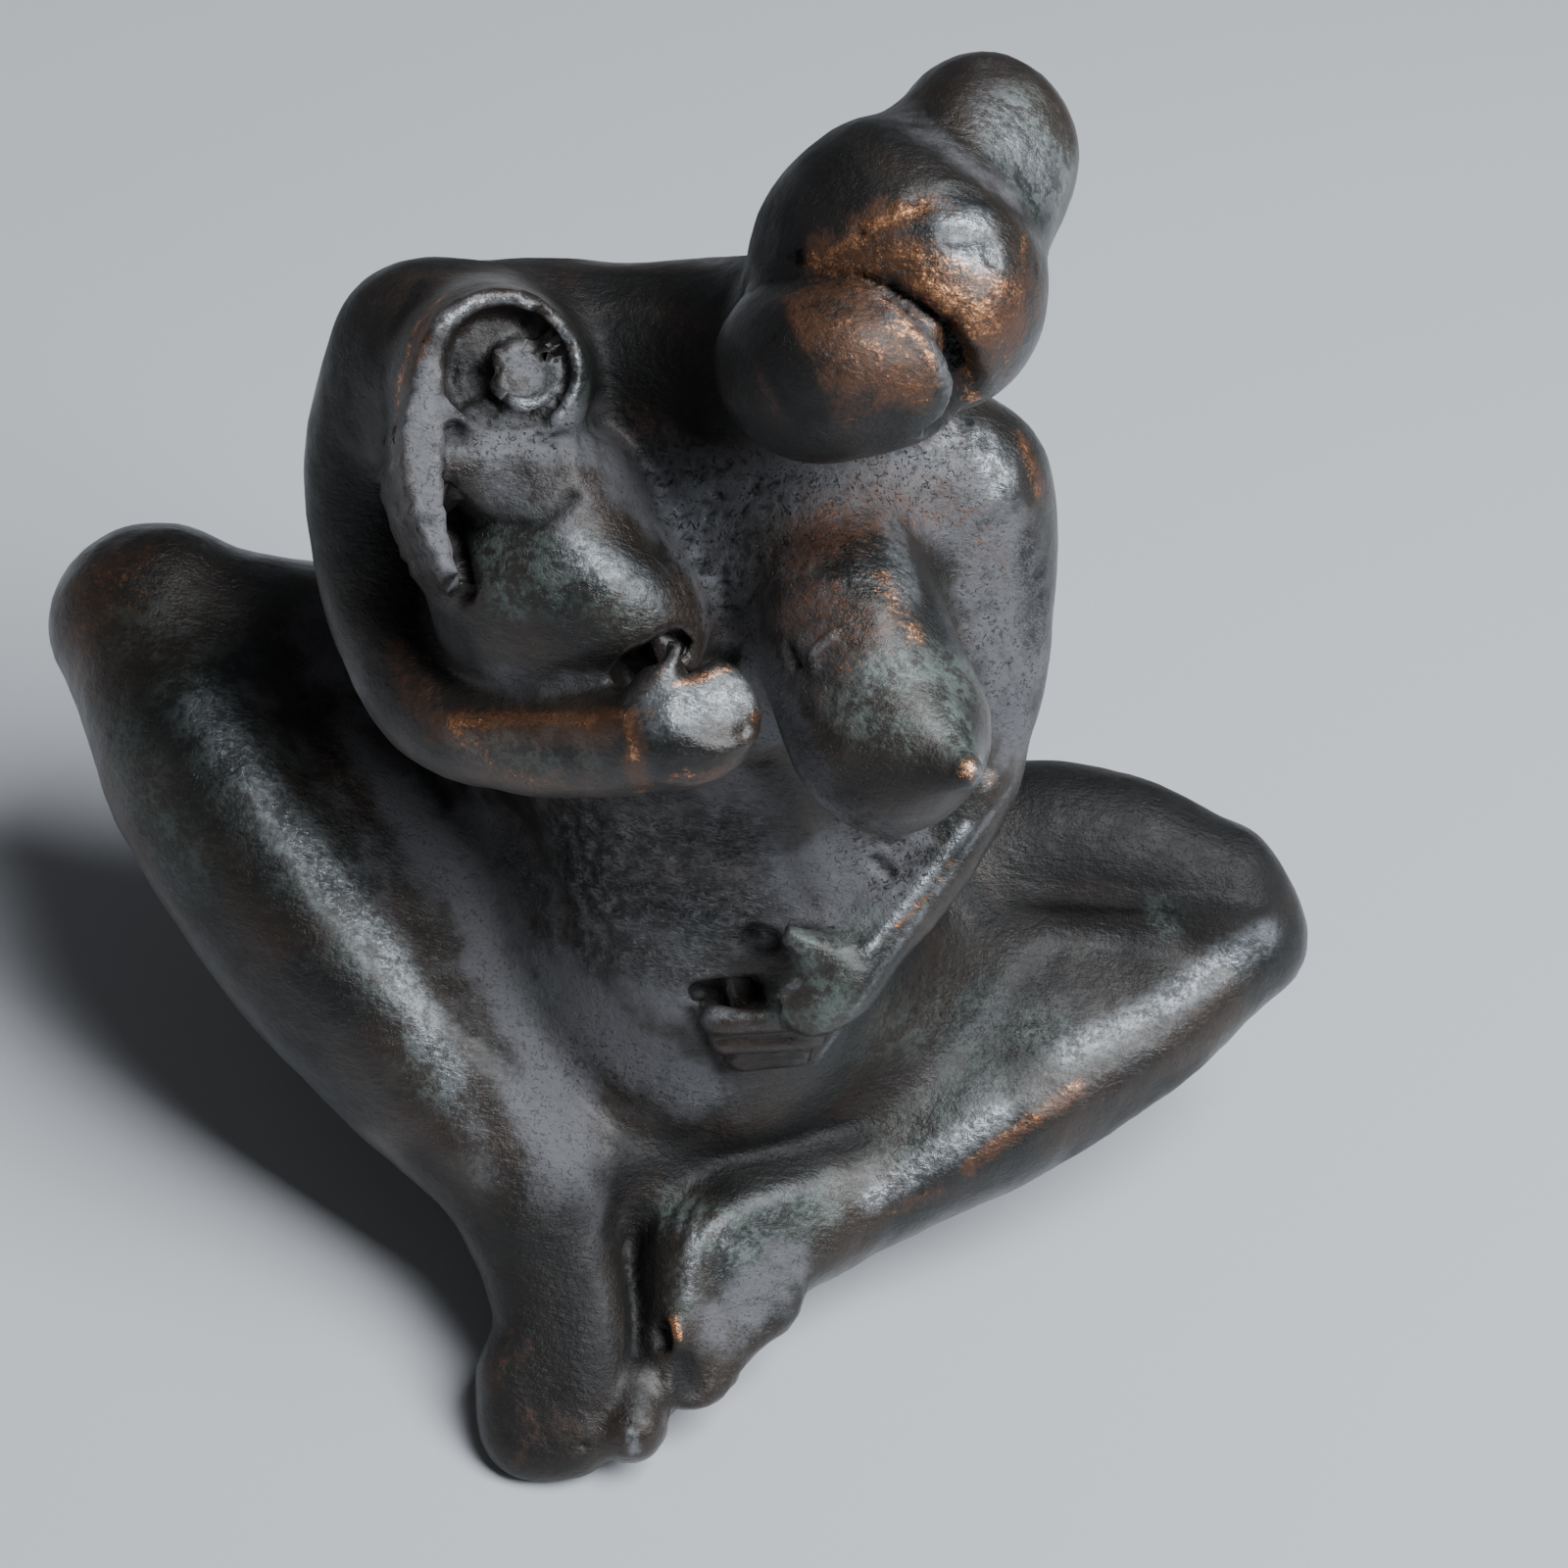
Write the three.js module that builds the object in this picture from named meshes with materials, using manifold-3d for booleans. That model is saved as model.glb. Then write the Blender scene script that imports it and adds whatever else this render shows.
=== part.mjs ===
// Seated goddess: a small patinated bronze, cast in one piece.
// She sits cross-legged, her head bowed and turned to her left, with a hooded bundle in the crook
// of her right arm and her left hand on her belly. Millimetres, +Z up; she faces -Y and her right
// side is at -X. The origin is the middle of her underside's box.
//
// The form is modelled as clay is: rounded masses and limbs are pressed together with soft
// joins, hollows are cut into them, and the skin of the whole is then drawn as one mesh, thinned
// where it is smooth and cut flat underneath.

import * as THREE from 'three';
import { mergeVertices } from 'three/addons/utils/BufferGeometryUtils.js';
import Module from 'manifold-3d';

// The mesh: how finely the skin is drawn, and how many triangles are kept.
const SKIN_STEP = 1.1;
const TRIANGLES_KEPT = 9400;

// The modelling frame is shifted by this much, so that the box's middle comes to X = Y = 0.
const BOX_MIDDLE = [-1.03, -1.12];

// The box that holds the whole figure in the modelling frame, with room around it.
const ROOM_LOW = [-69, -47, -8];
const ROOM_HIGH = [67, 43, 128];

// Directions that many forms share: the figure is made to be seen from above in front, so its
// head, bundle and hands lie on a plane that leans back by this many degrees and is spun by this.
const LEAN = 45;
const LEVEL = 13;

const rad = THREE.MathUtils.degToRad;
const clamp = THREE.MathUtils.clamp;
const smoothstep = THREE.MathUtils.smoothstep;

// Basic forms. Each returns a function of x, y, z that gives the distance to the form's skin,
// negative inside it.

function leaning(tilt, spin) {
  const turn = new THREE.Matrix4().makeRotationX(rad(tilt));
  turn.multiply(new THREE.Matrix4().makeRotationZ(rad(spin)));
  const axes = [new THREE.Vector3(), new THREE.Vector3(), new THREE.Vector3()];
  turn.extractBasis(...axes);
  return axes;
}

function egg([cx, cy, cz], [a, b, c], tilt = 0, spin = 0) {
  const [i, j, k] = leaning(tilt, spin);
  return (x, y, z) => {
    const dx = x - cx;
    const dy = y - cy;
    const dz = z - cz;
    const u = (dx * i.x + dy * i.y + dz * i.z) / a;
    const v = (dx * j.x + dy * j.y + dz * j.z) / b;
    const w = (dx * k.x + dy * k.y + dz * k.z) / c;
    const size = Math.sqrt(u * u + v * v + w * w);
    const slope = Math.sqrt((u * u) / (a * a) + (v * v) / (b * b) + (w * w) / (c * c));
    return (size * (size - 1)) / Math.max(slope, 1e-6);
  };
}

// A box with rounded edges, given by its middle, its half sizes and the rounding's radius.
function block([cx, cy, cz], [a, b, c], radius, tilt, spin) {
  const [i, j, k] = leaning(tilt, spin);
  return (x, y, z) => {
    const dx = x - cx;
    const dy = y - cy;
    const dz = z - cz;
    const u = Math.abs(dx * i.x + dy * i.y + dz * i.z) - a + radius;
    const v = Math.abs(dx * j.x + dy * j.y + dz * j.z) - b + radius;
    const w = Math.abs(dx * k.x + dy * k.y + dz * k.z) - c + radius;
    const outside = Math.hypot(Math.max(u, 0), Math.max(v, 0), Math.max(w, 0));
    return outside + Math.min(Math.max(u, v, w), 0) - radius;
  };
}

// Everything below a plane, given by a point on it and the way that it faces.
function below([px, py, pz], way) {
  const face = new THREE.Vector3(...way).normalize();
  return (x, y, z) => (x - px) * face.x + (y - py) * face.y + (z - pz) * face.z;
}

// A straight stick with round ends, given by two stations [x, y, z, radius].
function stick([ax, ay, az, ra], [bx, by, bz, rb]) {
  const ex = bx - ax;
  const ey = by - ay;
  const ez = bz - az;
  const long2 = Math.max(ex * ex + ey * ey + ez * ez, 1e-9);
  return (x, y, z) => {
    const t = clamp(((x - ax) * ex + (y - ay) * ey + (z - az) * ez) / long2, 0, 1);
    const qx = x - ax - t * ex;
    const qy = y - ay - t * ey;
    const qz = z - az - t * ez;
    return Math.sqrt(qx * qx + qy * qy + qz * qz) - ra - t * (rb - ra);
  };
}

// A round limb that swells and tapers along a smooth curve through its stations.
const CHORDS_PER_SPAN = 3;
const REFINEMENTS = 2;

function spanTerms(a, b, c, d) {
  return [b, (c - a) / 2, a - 2.5 * b + 2 * c - d / 2, (3 * b - a - 3 * c + d) / 2];
}

// The station that would follow the end one: as far beyond it as the one next to it is before.
function beyond(end, next) {
  return end.map((v, i) => (i < 3 ? 2 * v - next[i] : next[3]));
}

function limb(stations) {
  const last = stations.length - 1;
  const before = beyond(stations[0], stations[1]);
  const after = beyond(stations[last], stations[last - 1]);
  const path = [before, ...stations, after];
  const spans = [];
  for (let s = 0; s < last; s++) {
    spans.push([0, 1, 2, 3].map((i) => spanTerms(...[0, 1, 2, 3].map((n) => path[s + n][i]))));
  }
  const value = (terms, t) => terms[0] + t * (terms[1] + t * (terms[2] + t * terms[3]));
  const speed = (terms, t) => terms[1] + t * (2 * terms[2] + 3 * t * terms[3]);
  const bend = (terms, t) => 2 * terms[2] + 6 * t * terms[3];
  const knots = [];
  for (let n = 0; n <= last * CHORDS_PER_SPAN; n++) {
    const s = Math.min(Math.floor(n / CHORDS_PER_SPAN), last - 1);
    const t = n / CHORDS_PER_SPAN - s;
    knots.push([0, 1, 2].map((i) => value(spans[s][i], t)));
  }
  return (x, y, z) => {
    let nearest = Infinity;
    let along = 0;
    for (let n = 0; n < knots.length - 1; n++) {
      const [ax, ay, az] = knots[n];
      const ex = knots[n + 1][0] - ax;
      const ey = knots[n + 1][1] - ay;
      const ez = knots[n + 1][2] - az;
      const reach = (x - ax) * ex + (y - ay) * ey + (z - az) * ez;
      const t = clamp(reach / (ex * ex + ey * ey + ez * ez), 0, 1);
      const gap = (x - ax - t * ex) ** 2 + (y - ay - t * ey) ** 2 + (z - az - t * ez) ** 2;
      if (gap < nearest) {
        nearest = gap;
        along = (n + t) / CHORDS_PER_SPAN;
      }
    }
    for (let pass = 0; pass < REFINEMENTS; pass++) {
      const s = Math.min(Math.floor(along), last - 1);
      const t = along - s;
      let pull = 0;
      let stiff = 0;
      let run = 0;
      [x, y, z].forEach((q, i) => {
        const off = value(spans[s][i], t) - q;
        const v = speed(spans[s][i], t);
        pull += off * v;
        run += v * v;
        stiff += off * bend(spans[s][i], t);
      });
      along = clamp(along - clamp(pull / Math.max(run + stiff, 0.3 * run), -0.4, 0.4), 0, last);
    }
    const s = Math.min(Math.floor(along), last - 1);
    const t = along - s;
    const [px, py, pz, radius] = spans[s].map((terms) => value(terms, t));
    return Math.sqrt((x - px) ** 2 + (y - py) ** 2 + (z - pz) ** 2) - radius;
  };
}

// Soft join, what two forms share, and soft cut: k is the width over which two skins run into
// each other.
function join(a, b, k) {
  const h = Math.max(k - Math.abs(a - b), 0) / k;
  return Math.min(a, b) - h * h * k * 0.25;
}

function both(a, b, k) {
  return -join(-a, -b, k);
}

function cut(a, b, k) {
  return -join(-a, b, k);
}

// A slot seen from above in front: between two points, so wide and so deep below them.
const [ACROSS, UPWARD, OUTWARD] = leaning(LEAN, LEVEL);
const SLOT_EDGE = 0.5;

function slot(from, to, radius, depth) {
  const a = new THREE.Vector3(...from);
  const way = new THREE.Vector3(...to).sub(a);
  const wx = way.dot(ACROSS);
  const wy = way.dot(UPWARD);
  const wz = way.dot(OUTWARD);
  const q = new THREE.Vector3();
  return (x, y, z) => {
    q.set(x, y, z).sub(a);
    const qx = q.dot(ACROSS);
    const qy = q.dot(UPWARD);
    const t = clamp((qx * wx + qy * wy) / (wx * wx + wy * wy), 0, 1);
    const side = Math.hypot(qx - t * wx, qy - t * wy) - radius;
    return both(side, t * wz - q.dot(OUTWARD) - depth, SLOT_EDGE);
  };
}

// Trunk: hips, belly, chest and back, with a bar across the shoulders.
const HIPS = egg([-3, 13, 19], [38, 25, 24]);
const BELLY = egg([2.5, 5, 36], [19, 19.5, 32], -14);
const CHEST = egg([-1.5, 10, 67], [27, 18, 23]);
const BACK = egg([-6, 20, 52], [27, 15, 38]);
const RIGHT_BUTTOCK = egg([-17, 25, 16], [17, 14, 16]);
const LEFT_BUTTOCK = egg([12, 25, 15], [17, 14, 15]);
const SHOULDERS = limb([
  [-30.8, 13.8, 88, 8],
  [-18.5, 14.8, 88.6, 8.8],
  [-4, 14.8, 88.4, 7.9],
  [7, 13.8, 86.8, 7.7],
  [17, 13, 83.4, 5.9],
]);
const NECK = stick([-4, 14, 90, 9.5], [3, 8, 102.5, 8.5]);

function trunk(x, y, z) {
  let d = join(HIPS(x, y, z), BELLY(x, y, z), 7);
  d = join(d, CHEST(x, y, z), 10);
  d = join(d, BACK(x, y, z), 10);
  d = join(d, SHOULDERS(x, y, z), 8);
  const rump = join(RIGHT_BUTTOCK(x, y, z), LEFT_BUTTOCK(x, y, z), 3);
  return join(join(d, rump, 6), NECK(x, y, z), 7);
}

// Head: a close cap of hair with a flattened knot behind, overhanging a smooth face with no
// features.
const CROWN = egg([5.4, 6, 111.2], [12.2, 11.1, 12.5], LEAN, 61);
const SIDE_HAIR = egg([9.4, 0, 112.3], [8.2, 8.4, 9.3], LEAN, LEVEL);
const KNOT = egg([11.6, 16, 115.1], [8.3, 8.9, 9.3], LEAN, -7);
const KNOT_FLAT = below([14.3, 10, 121.3], [0.349, -0.445, 0.825]);
const FACE = egg([2.7, -5, 108.6], [8.9, 7.4, 10], LEAN, 20);
const CHEEK = egg([7.8, -5.3, 108.3], [4.4, 4.2, 7.5], LEAN, LEVEL);
const JOWL = egg([-0.2, -1, 105], [7, 7, 7.8], LEAN, LEVEL);
const SKULL = egg([5, 5.5, 109.5], [8, 8, 8], LEAN, LEVEL);

// Under the hair the gap opens from nothing at her right temple to this width at her left cheek.
const HAIR_GAP = { closed: 0.15, open: 1.5, centre: [2.3, -5, 108.8], from: 3, to: 11 };
const GAP_WAY = new THREE.Vector3(0.91, -0.31, -0.21);

function head(x, y, z) {
  const face = join(join(FACE(x, y, z), CHEEK(x, y, z), 3), JOWL(x, y, z), 4);
  const [gx, gy, gz] = HAIR_GAP.centre;
  const along = (x - gx) * GAP_WAY.x + (y - gy) * GAP_WAY.y + (z - gz) * GAP_WAY.z;
  const gap = HAIR_GAP.closed + HAIR_GAP.open * smoothstep(along, HAIR_GAP.from, HAIR_GAP.to);
  const knot = both(KNOT(x, y, z), KNOT_FLAT(x, y, z), 3);
  let hair = join(join(CROWN(x, y, z), SIDE_HAIR(x, y, z), 5), knot, 5);
  hair = cut(hair, face - gap, 0.5);
  return join(hair, join(face, SKULL(x, y, z), 1.5), 0.3);
}

// Bundle: a rounded lobe, and a hood with a rim, a lapel, a hollow with a disc, and a roof-shaped
// bib below it. The hood has its own flat frame: u across, v up and n outward, in millimetres
// from its middle.
const LOBE = egg([-14.8, -5.2, 80.7], [11.6, 8, 10.1], LEAN, -27);
const LOBE_LOW = egg([-19.5, -5.5, 76], [8.5, 6.5, 8.5], LEAN, -27);
const LOBE_ROOT = egg([-18.9, 1, 86], [8, 6.3, 9.5], LEAN, -17);

const HOOD_MIDDLE = new THREE.Vector3(-24.5, -1.5, 98.8);
const HOOD_OUT = new THREE.Vector3(0.195, -0.661, 0.725).normalize();
const HOOD_UP = new THREE.Vector3(-0.15, 0.71, 0.69).projectOnPlane(HOOD_OUT).normalize();
const HOOD_ACROSS = new THREE.Vector3().crossVectors(HOOD_UP, HOOD_OUT);
const HOOD = { u: 0.6, v: 0.2, radius: 7, flare: 0.3, depth: 13 };
const HOLLOW = { u: 1, v: 0.8, radius: 5.2, depth: 3 };
const DISC = { u: 2.5, v: 0.5, radius: 3, sunk: 1.3, rim: 0.5, rimAt: 2.55 };
const LAPEL = { top: 1, start: 0.5, foot: -17.5, outer: -6.2, bow: 8.2, lean: 2.6 };
const LAPEL_WIDTH = { top: 3.6, taper: 2.4 };
const CHIN = { below: -4.6, above: -3, sunk: 1.1, clear: 0.6 };
const BIB = { u: 1.5, v: -6.3, radius: 5.5, ridge: -6.5, sunk: 0.2, rise: 0.45, fall: 0.42 };

function hood(x, y, z) {
  const dx = x - HOOD_MIDDLE.x;
  const dy = y - HOOD_MIDDLE.y;
  const dz = z - HOOD_MIDDLE.z;
  const u = dx * HOOD_ACROSS.x + dy * HOOD_ACROSS.y + dz * HOOD_ACROSS.z;
  const v = dx * HOOD_UP.x + dy * HOOD_UP.y + dz * HOOD_UP.z;
  const n = dx * HOOD_OUT.x + dy * HOOD_OUT.y + dz * HOOD_OUT.z;
  const steep = Math.hypot(1, HOOD.flare);
  const cone = (Math.hypot(u - HOOD.u, v - HOOD.v) - HOOD.radius + HOOD.flare * n) / steep;
  const chin = (CHIN.sunk + CHIN.clear) * (1 - smoothstep(v, CHIN.below, CHIN.above)) - CHIN.clear;
  const cowl = both(cone, n + chin, 0.4);
  const t = clamp((LAPEL.start - v) / (LAPEL.start - LAPEL.foot), 0, 1);
  const outer = LAPEL.outer - LAPEL.bow * t * (1 - t) + LAPEL.lean * t * t;
  const inner = outer + LAPEL_WIDTH.top - LAPEL_WIDTH.taper * t ** 3;
  const band = Math.max(outer - u, u - inner, LAPEL.foot - v, v - LAPEL.top);
  let d = both(join(cowl, band, 0.6), n, 0.5);
  const hollow = Math.hypot(u - HOLLOW.u, v - HOLLOW.v) - HOLLOW.radius;
  d = cut(d, both(hollow, -n - HOLLOW.depth, 0.8), 0.5);
  const ring = Math.hypot(u - DISC.u, v - DISC.v);
  const disc = both(ring - DISC.radius, n + DISC.sunk, 0.5);
  const rim = Math.hypot(ring - DISC.rimAt, n + DISC.sunk) - DISC.rim;
  d = join(d, join(disc, rim, 0.3), 0.3);
  const up = v - BIB.ridge;
  const roof = both(n + BIB.sunk + BIB.rise * up, n + BIB.sunk - BIB.fall * up, 1.6);
  const bib = both(Math.hypot(u - BIB.u, v - BIB.v) - BIB.radius, roof, 0.5);
  return both(join(d, bib, 0.5), -n - HOOD.depth, 1);
}

function bundle(x, y, z) {
  const lobe = join(join(LOBE(x, y, z), LOBE_ROOT(x, y, z), 4), LOBE_LOW(x, y, z), 6);
  return join(lobe, hood(x, y, z), 0.8);
}

// Arms, from the shoulder through the elbow to the wrist.
const RIGHT_ARM = limb([
  [-31.2, 10, 90.7, 8],
  [-34, 7, 80.5, 6.4],
  [-31.5, 0, 71, 5.6],
  [-26, -8, 67.5, 5.1],
  [-19, -14, 70.5, 4.6],
  [-11.5, -18.5, 76, 4.4],
  [-6.5, -20.5, 80.5, 4.3],
]);
const LEFT_ARM = limb([
  [16.5, 12, 84.4, 6.2],
  [20.1, 10, 74.5, 6],
  [22.2, 5.4, 62, 4.9],
  [22.9, 1.6, 57.6, 4],
  [21, -4.2, 53, 3.1],
  [17.2, -9.3, 48.8, 2.9],
  [14, -12.8, 46.2, 3.3],
]);
const BREAST = limb([
  [4.5, 1.5, 83, 7.5],
  [8, -6, 81, 8.3],
  [12, -12.3, 77, 8.5],
]);
const NIPPLE = stick([13.8, -15.2, 78, 6.5], [17.9, -20.8, 81.6, 1.7]);

// Legs, folded: each shin comes forward from its knee, with the thigh and calf massed above it.
// The right leg has a broad flat from the ridge of its shin to the belly, and the left leg one
// from the ridge of its shin back to the groove under the thigh.
const RIGHT_SHIN = limb([
  [-57, 23, 41, 8.6],
  [-45.5, 6.5, 38, 10.8],
  [-32, -3.5, 29.5, 11.8],
  [-21.2, -11.5, 22, 9.6],
  [-10.8, -19.5, 15.5, 7],
]);
const RIGHT_THIGH = limb([
  [-54, 23.5, 43, 8.4],
  [-38, 20.5, 38, 12.8],
  [-23.5, 18, 28, 16],
]);
const RIGHT_CALF = limb([
  [-39, 9, 37, 10.5],
  [-20.5, -0.5, 30.5, 12.8],
  [-8, -10.5, 21, 10],
]);
const RIGHT_FLAT = below([-31.5, -6.6, 40.5], [0.439, -0.288, 0.851]);
const LEFT_SHIN = limb([
  [56.3, 16.7, 27.6, 7.2],
  [46, 7.9, 22.3, 8.5],
  [32.2, -1.5, 17.2, 9.1],
  [23, -8.5, 13.8, 7.6],
  [15.9, -13.8, 12.2, 6.8],
]);
const LEFT_CALF = limb([
  [46.1, 13.5, 23.9, 8],
  [34.6, 9.3, 21.3, 10.5],
  [23.5, 2.9, 16.7, 10.5],
]);
const LEFT_FLAT = below([38.4, -1.9, 27], [-0.117, -0.285, 0.951]);
const LEFT_THIGH = limb([
  [52.5, 18.2, 32.9, 6.8],
  [41.6, 19.9, 33.7, 8],
  [31.8, 19.5, 31.9, 9],
  [23.7, 13.7, 24.5, 11.5],
  [16.9, 4.7, 19.2, 12],
]);
const LAP = egg([1, -1, 14], [16, 14, 14]);
const LAP_FRONT = egg([1, -12.5, 11], [10, 9.5, 10]);

function legs(x, y, z) {
  let right = join(join(RIGHT_SHIN(x, y, z), RIGHT_THIGH(x, y, z), 4), RIGHT_CALF(x, y, z), 4);
  right = both(right, RIGHT_FLAT(x, y, z), 3);
  let left = join(LEFT_SHIN(x, y, z), LEFT_CALF(x, y, z), 4);
  left = join(both(left, LEFT_FLAT(x, y, z), 2), LEFT_THIGH(x, y, z), 4);
  const lap = join(LAP(x, y, z), LAP_FRONT(x, y, z), 4);
  return join(join(right, left, 4), lap, 5);
}

// Feet: the right one is a blunt wedge in front, with its big toe apart. The left one crosses
// over it and has a flat on each side of the ridge of its instep.
const RIGHT_FOOT = limb([
  [-10.8, -19.5, 15.5, 7],
  [-6.3, -27.7, 9.7, 6.6],
  [-6, -32.3, 5.8, 7.2],
  [-5.9, -34.8, 3.6, 6.4],
]);
const RIGHT_TOES = block([-6.1, -35.1, 3.5], [6, 5.4, 5.4], 3.9, LEAN, LEVEL);
const RIGHT_FOOT_TOP = below([-6.3, -37.8, 8.4], [-0.158, -0.677, 0.719]);
const RIGHT_BIG_TOE = stick([1.4, -33.5, 6.9, 3], [1.6, -36.6, 5.2, 3.7]);
const LEFT_FOOT = limb([
  [16.4, -13.6, 13.1, 7],
  [10.2, -18.5, 12.3, 8],
  [7.6, -24.2, 11.2, 8.2],
  [6, -30, 8.8, 5.6],
]);
const LEFT_INSTEP = [4.3, -28.7, 16];
const LEFT_FOOT_OUTSIDE = below(LEFT_INSTEP, [0.439, -0.614, 0.656]);
const LEFT_FOOT_INSIDE = below(LEFT_INSTEP, [-0.662, -0.523, 0.536]);

function feet(x, y, z) {
  let right = join(RIGHT_FOOT(x, y, z), RIGHT_TOES(x, y, z), 3);
  right = both(right, RIGHT_FOOT_TOP(x, y, z), 2.5);
  right = join(right, RIGHT_BIG_TOE(x, y, z), 1);
  let left = both(LEFT_FOOT(x, y, z), LEFT_FOOT_OUTSIDE(x, y, z), 1);
  left = both(left, LEFT_FOOT_INSIDE(x, y, z), 1);
  return join(right, left, 1);
}

// Right hand, laid over the bundle's lower end: a mitten of a palm and fingers with a flat back,
// a thumb, a hollow beside the thumb, and a crease across the finger ends.
const RIGHT_PALM = egg([-4.9, -19.8, 81.1], [5.6, 5.2, 4.3], LEAN, 23);
const RIGHT_FINGERS = egg([-3.2, -19.8, 82.8], [3.7, 4.2, 3.5], LEAN, 10);
const RIGHT_HAND_BACK = below([-4.6, -22.2, 84.6], [0.185, -0.405, 0.895]);
const RIGHT_THUMB = stick([-8.4, -19.5, 83.2, 2], [-7.3, -17.6, 86.8, 1.15]);
const THUMB_HOLLOW = slot([-10.5, -14.4, 80.7], [-6.6, -12.4, 83.1], 1.2, 3.4);
const FINGER_CREASE = slot([-1.9, -20, 89], [0.1, -21, 83.5], 0.2, 0.9);

function rightHand(d, x, y, z) {
  const mitten = join(RIGHT_PALM(x, y, z), RIGHT_FINGERS(x, y, z), 1.5);
  d = join(d, both(mitten, RIGHT_HAND_BACK(x, y, z), 1), 0.8);
  d = cut(d, THUMB_HOLLOW(x, y, z), 0.5);
  d = join(d, RIGHT_THUMB(x, y, z), 0.7);
  return cut(d, FINGER_CREASE(x, y, z), 0.4);
}

// Left hand, in a shallow hollow of the belly: a rounded back, a thumb, and three fingers below.
const BELLY_HOLLOW = egg([5.6, -15.6, 40.6], [5.4, 3.3, 2], LEAN, 8);
const FINGER_GAP = slot([1.2, -14.4, 42.2], [8.2, -14.4, 44.8], 0.95, 3.2);
const THUMB_GAP = slot([5.3, -12.8, 49], [7.1, -12.8, 48.7], 1.2, 2.4);
const LEFT_PALM = egg([11.8, -13.3, 44.7], [4.2, 5, 3.3], LEAN, -20);
const LEFT_THUMB = stick([12.3, -13.3, 48.4, 1.7], [7.9, -13.3, 50.5, 1]);
const LEFT_FINGERS = [
  stick([12.2, -14.4, 41.9, 1.65], [3.2, -15, 39.7, 1.5]),
  stick([12.1, -14.4, 38.9, 1.6], [4.2, -15, 37.1, 1.45]),
  stick([11.4, -14.4, 36, 1.4], [6.3, -15, 34.7, 1.3]),
];

function leftHand(d, x, y, z) {
  d = cut(d, BELLY_HOLLOW(x, y, z), 0.6);
  d = cut(d, FINGER_GAP(x, y, z), 0.5);
  d = cut(d, THUMB_GAP(x, y, z), 0.4);
  d = join(d, LEFT_PALM(x, y, z), 1.6);
  d = join(d, LEFT_THUMB(x, y, z), 1.2);
  for (const finger of LEFT_FINGERS) d = join(d, finger(x, y, z), 0.3);
  return d;
}

function figure(x, y, z) {
  let d = join(trunk(x, y, z), head(x, y, z), 3.5);
  d = join(d, RIGHT_ARM(x, y, z), 2);
  d = join(d, LEFT_ARM(x, y, z), 6.5);
  d = join(d, join(BREAST(x, y, z), NIPPLE(x, y, z), 4), 4.5);
  d = join(d, bundle(x, y, z), 2.2);
  d = join(d, legs(x, y, z), 2.2);
  d = leftHand(rightHand(d, x, y, z), x, y, z);
  return join(d, feet(x, y, z), 2);
}

// The skin is drawn on a grid: one point for each sheet of skin in each cell, moved onto the
// skin, and one quad across each grid edge that the skin crosses. Whole blocks of cells that are
// far from the skin are filled with one value.
const BLOCK = 4;

function measure(field, low, high, step) {
  const count = low.map((v, i) => Math.ceil((high[i] - v) / step / BLOCK) * BLOCK + 1);
  const [nx, ny, nz] = count;
  const far = 1.5 * BLOCK * step;
  const values = new Float32Array(nx * ny * nz);
  const at = (i, j, k) => (k * ny + j) * nx + i;
  const value = (i, j, k) => field(low[0] + i * step, low[1] + j * step, low[2] + k * step);
  for (let k0 = 0; k0 < nz; k0 += BLOCK) {
    for (let j0 = 0; j0 < ny; j0 += BLOCK) {
      for (let i0 = 0; i0 < nx; i0 += BLOCK) {
        const half = BLOCK / 2;
        const middle = value(i0 + half, j0 + half, k0 + half);
        for (let k = k0; k < Math.min(k0 + BLOCK, nz); k++) {
          for (let j = j0; j < Math.min(j0 + BLOCK, ny); j++) {
            for (let i = i0; i < Math.min(i0 + BLOCK, nx); i++) {
              values[at(i, j, k)] = Math.abs(middle) > far ? middle : value(i, j, k);
            }
          }
        }
      }
    }
  }
  return { values, count, at };
}

// A cell has 8 corners, numbered by their bits, and 12 edges, each from a corner along one bit.
const BITS = [1, 2, 4];
const CORNERS = [0, 1, 2, 3, 4, 5, 6, 7];
const edgesAt = (a) => BITS.filter((bit) => !(a & bit)).map((bit) => [a, a | bit]);
const cornersOn = (bit, side) => CORNERS.filter((c) => (c & bit) === side);
const CELL_EDGES = CORNERS.flatMap(edgesAt);
const CELL_FACES = BITS.flatMap((bit) => [cornersOn(bit, 0), cornersOn(bit, bit)]);
const placeOf = (corner) => BITS.map((bit) => (corner & bit ? 1 : 0));
const edgeFrom = (a, bit) => CELL_EDGES.findIndex(([from, to]) => from === a && to === (a | bit));

// Which crossed edges of a cell belong to one sheet: they are linked across each face of the
// cell, and where a face has four of them, the two that meet at a corner inside are linked.
function sheetsOf(inside) {
  const crossed = CELL_EDGES.map(([a, b]) => inside[a] !== inside[b]);
  const sheet = CELL_EDGES.map((_, n) => n);
  const link = (m, n) => {
    const [old, kept] = [sheet[m], sheet[n]];
    for (const e of sheet.keys()) if (sheet[e] === old) sheet[e] = kept;
  };
  for (const face of CELL_FACES) {
    const onFace = (n) => CELL_EDGES[n].every((corner) => face.includes(corner));
    const edges = [...crossed.keys()].filter((n) => crossed[n] && onFace(n));
    if (edges.length === 2) link(edges[0], edges[1]);
    if (edges.length < 4) continue;
    for (const corner of face.filter((c) => inside[c])) {
      const [m, n] = edges.filter((e) => CELL_EDGES[e].includes(corner));
      link(m, n);
    }
  }
  return sheet.map((value, n) => (crossed[n] ? value : -1));
}

// Around the grid edge from a point along one axis lie four cells, counted round that axis.
const ROUND = [[1, 1], [0, 1], [0, 0], [1, 0]];

// A point is moved onto the skin by no more than this part of a cell.
const FURTHEST_MOVE = 0.45;

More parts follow.
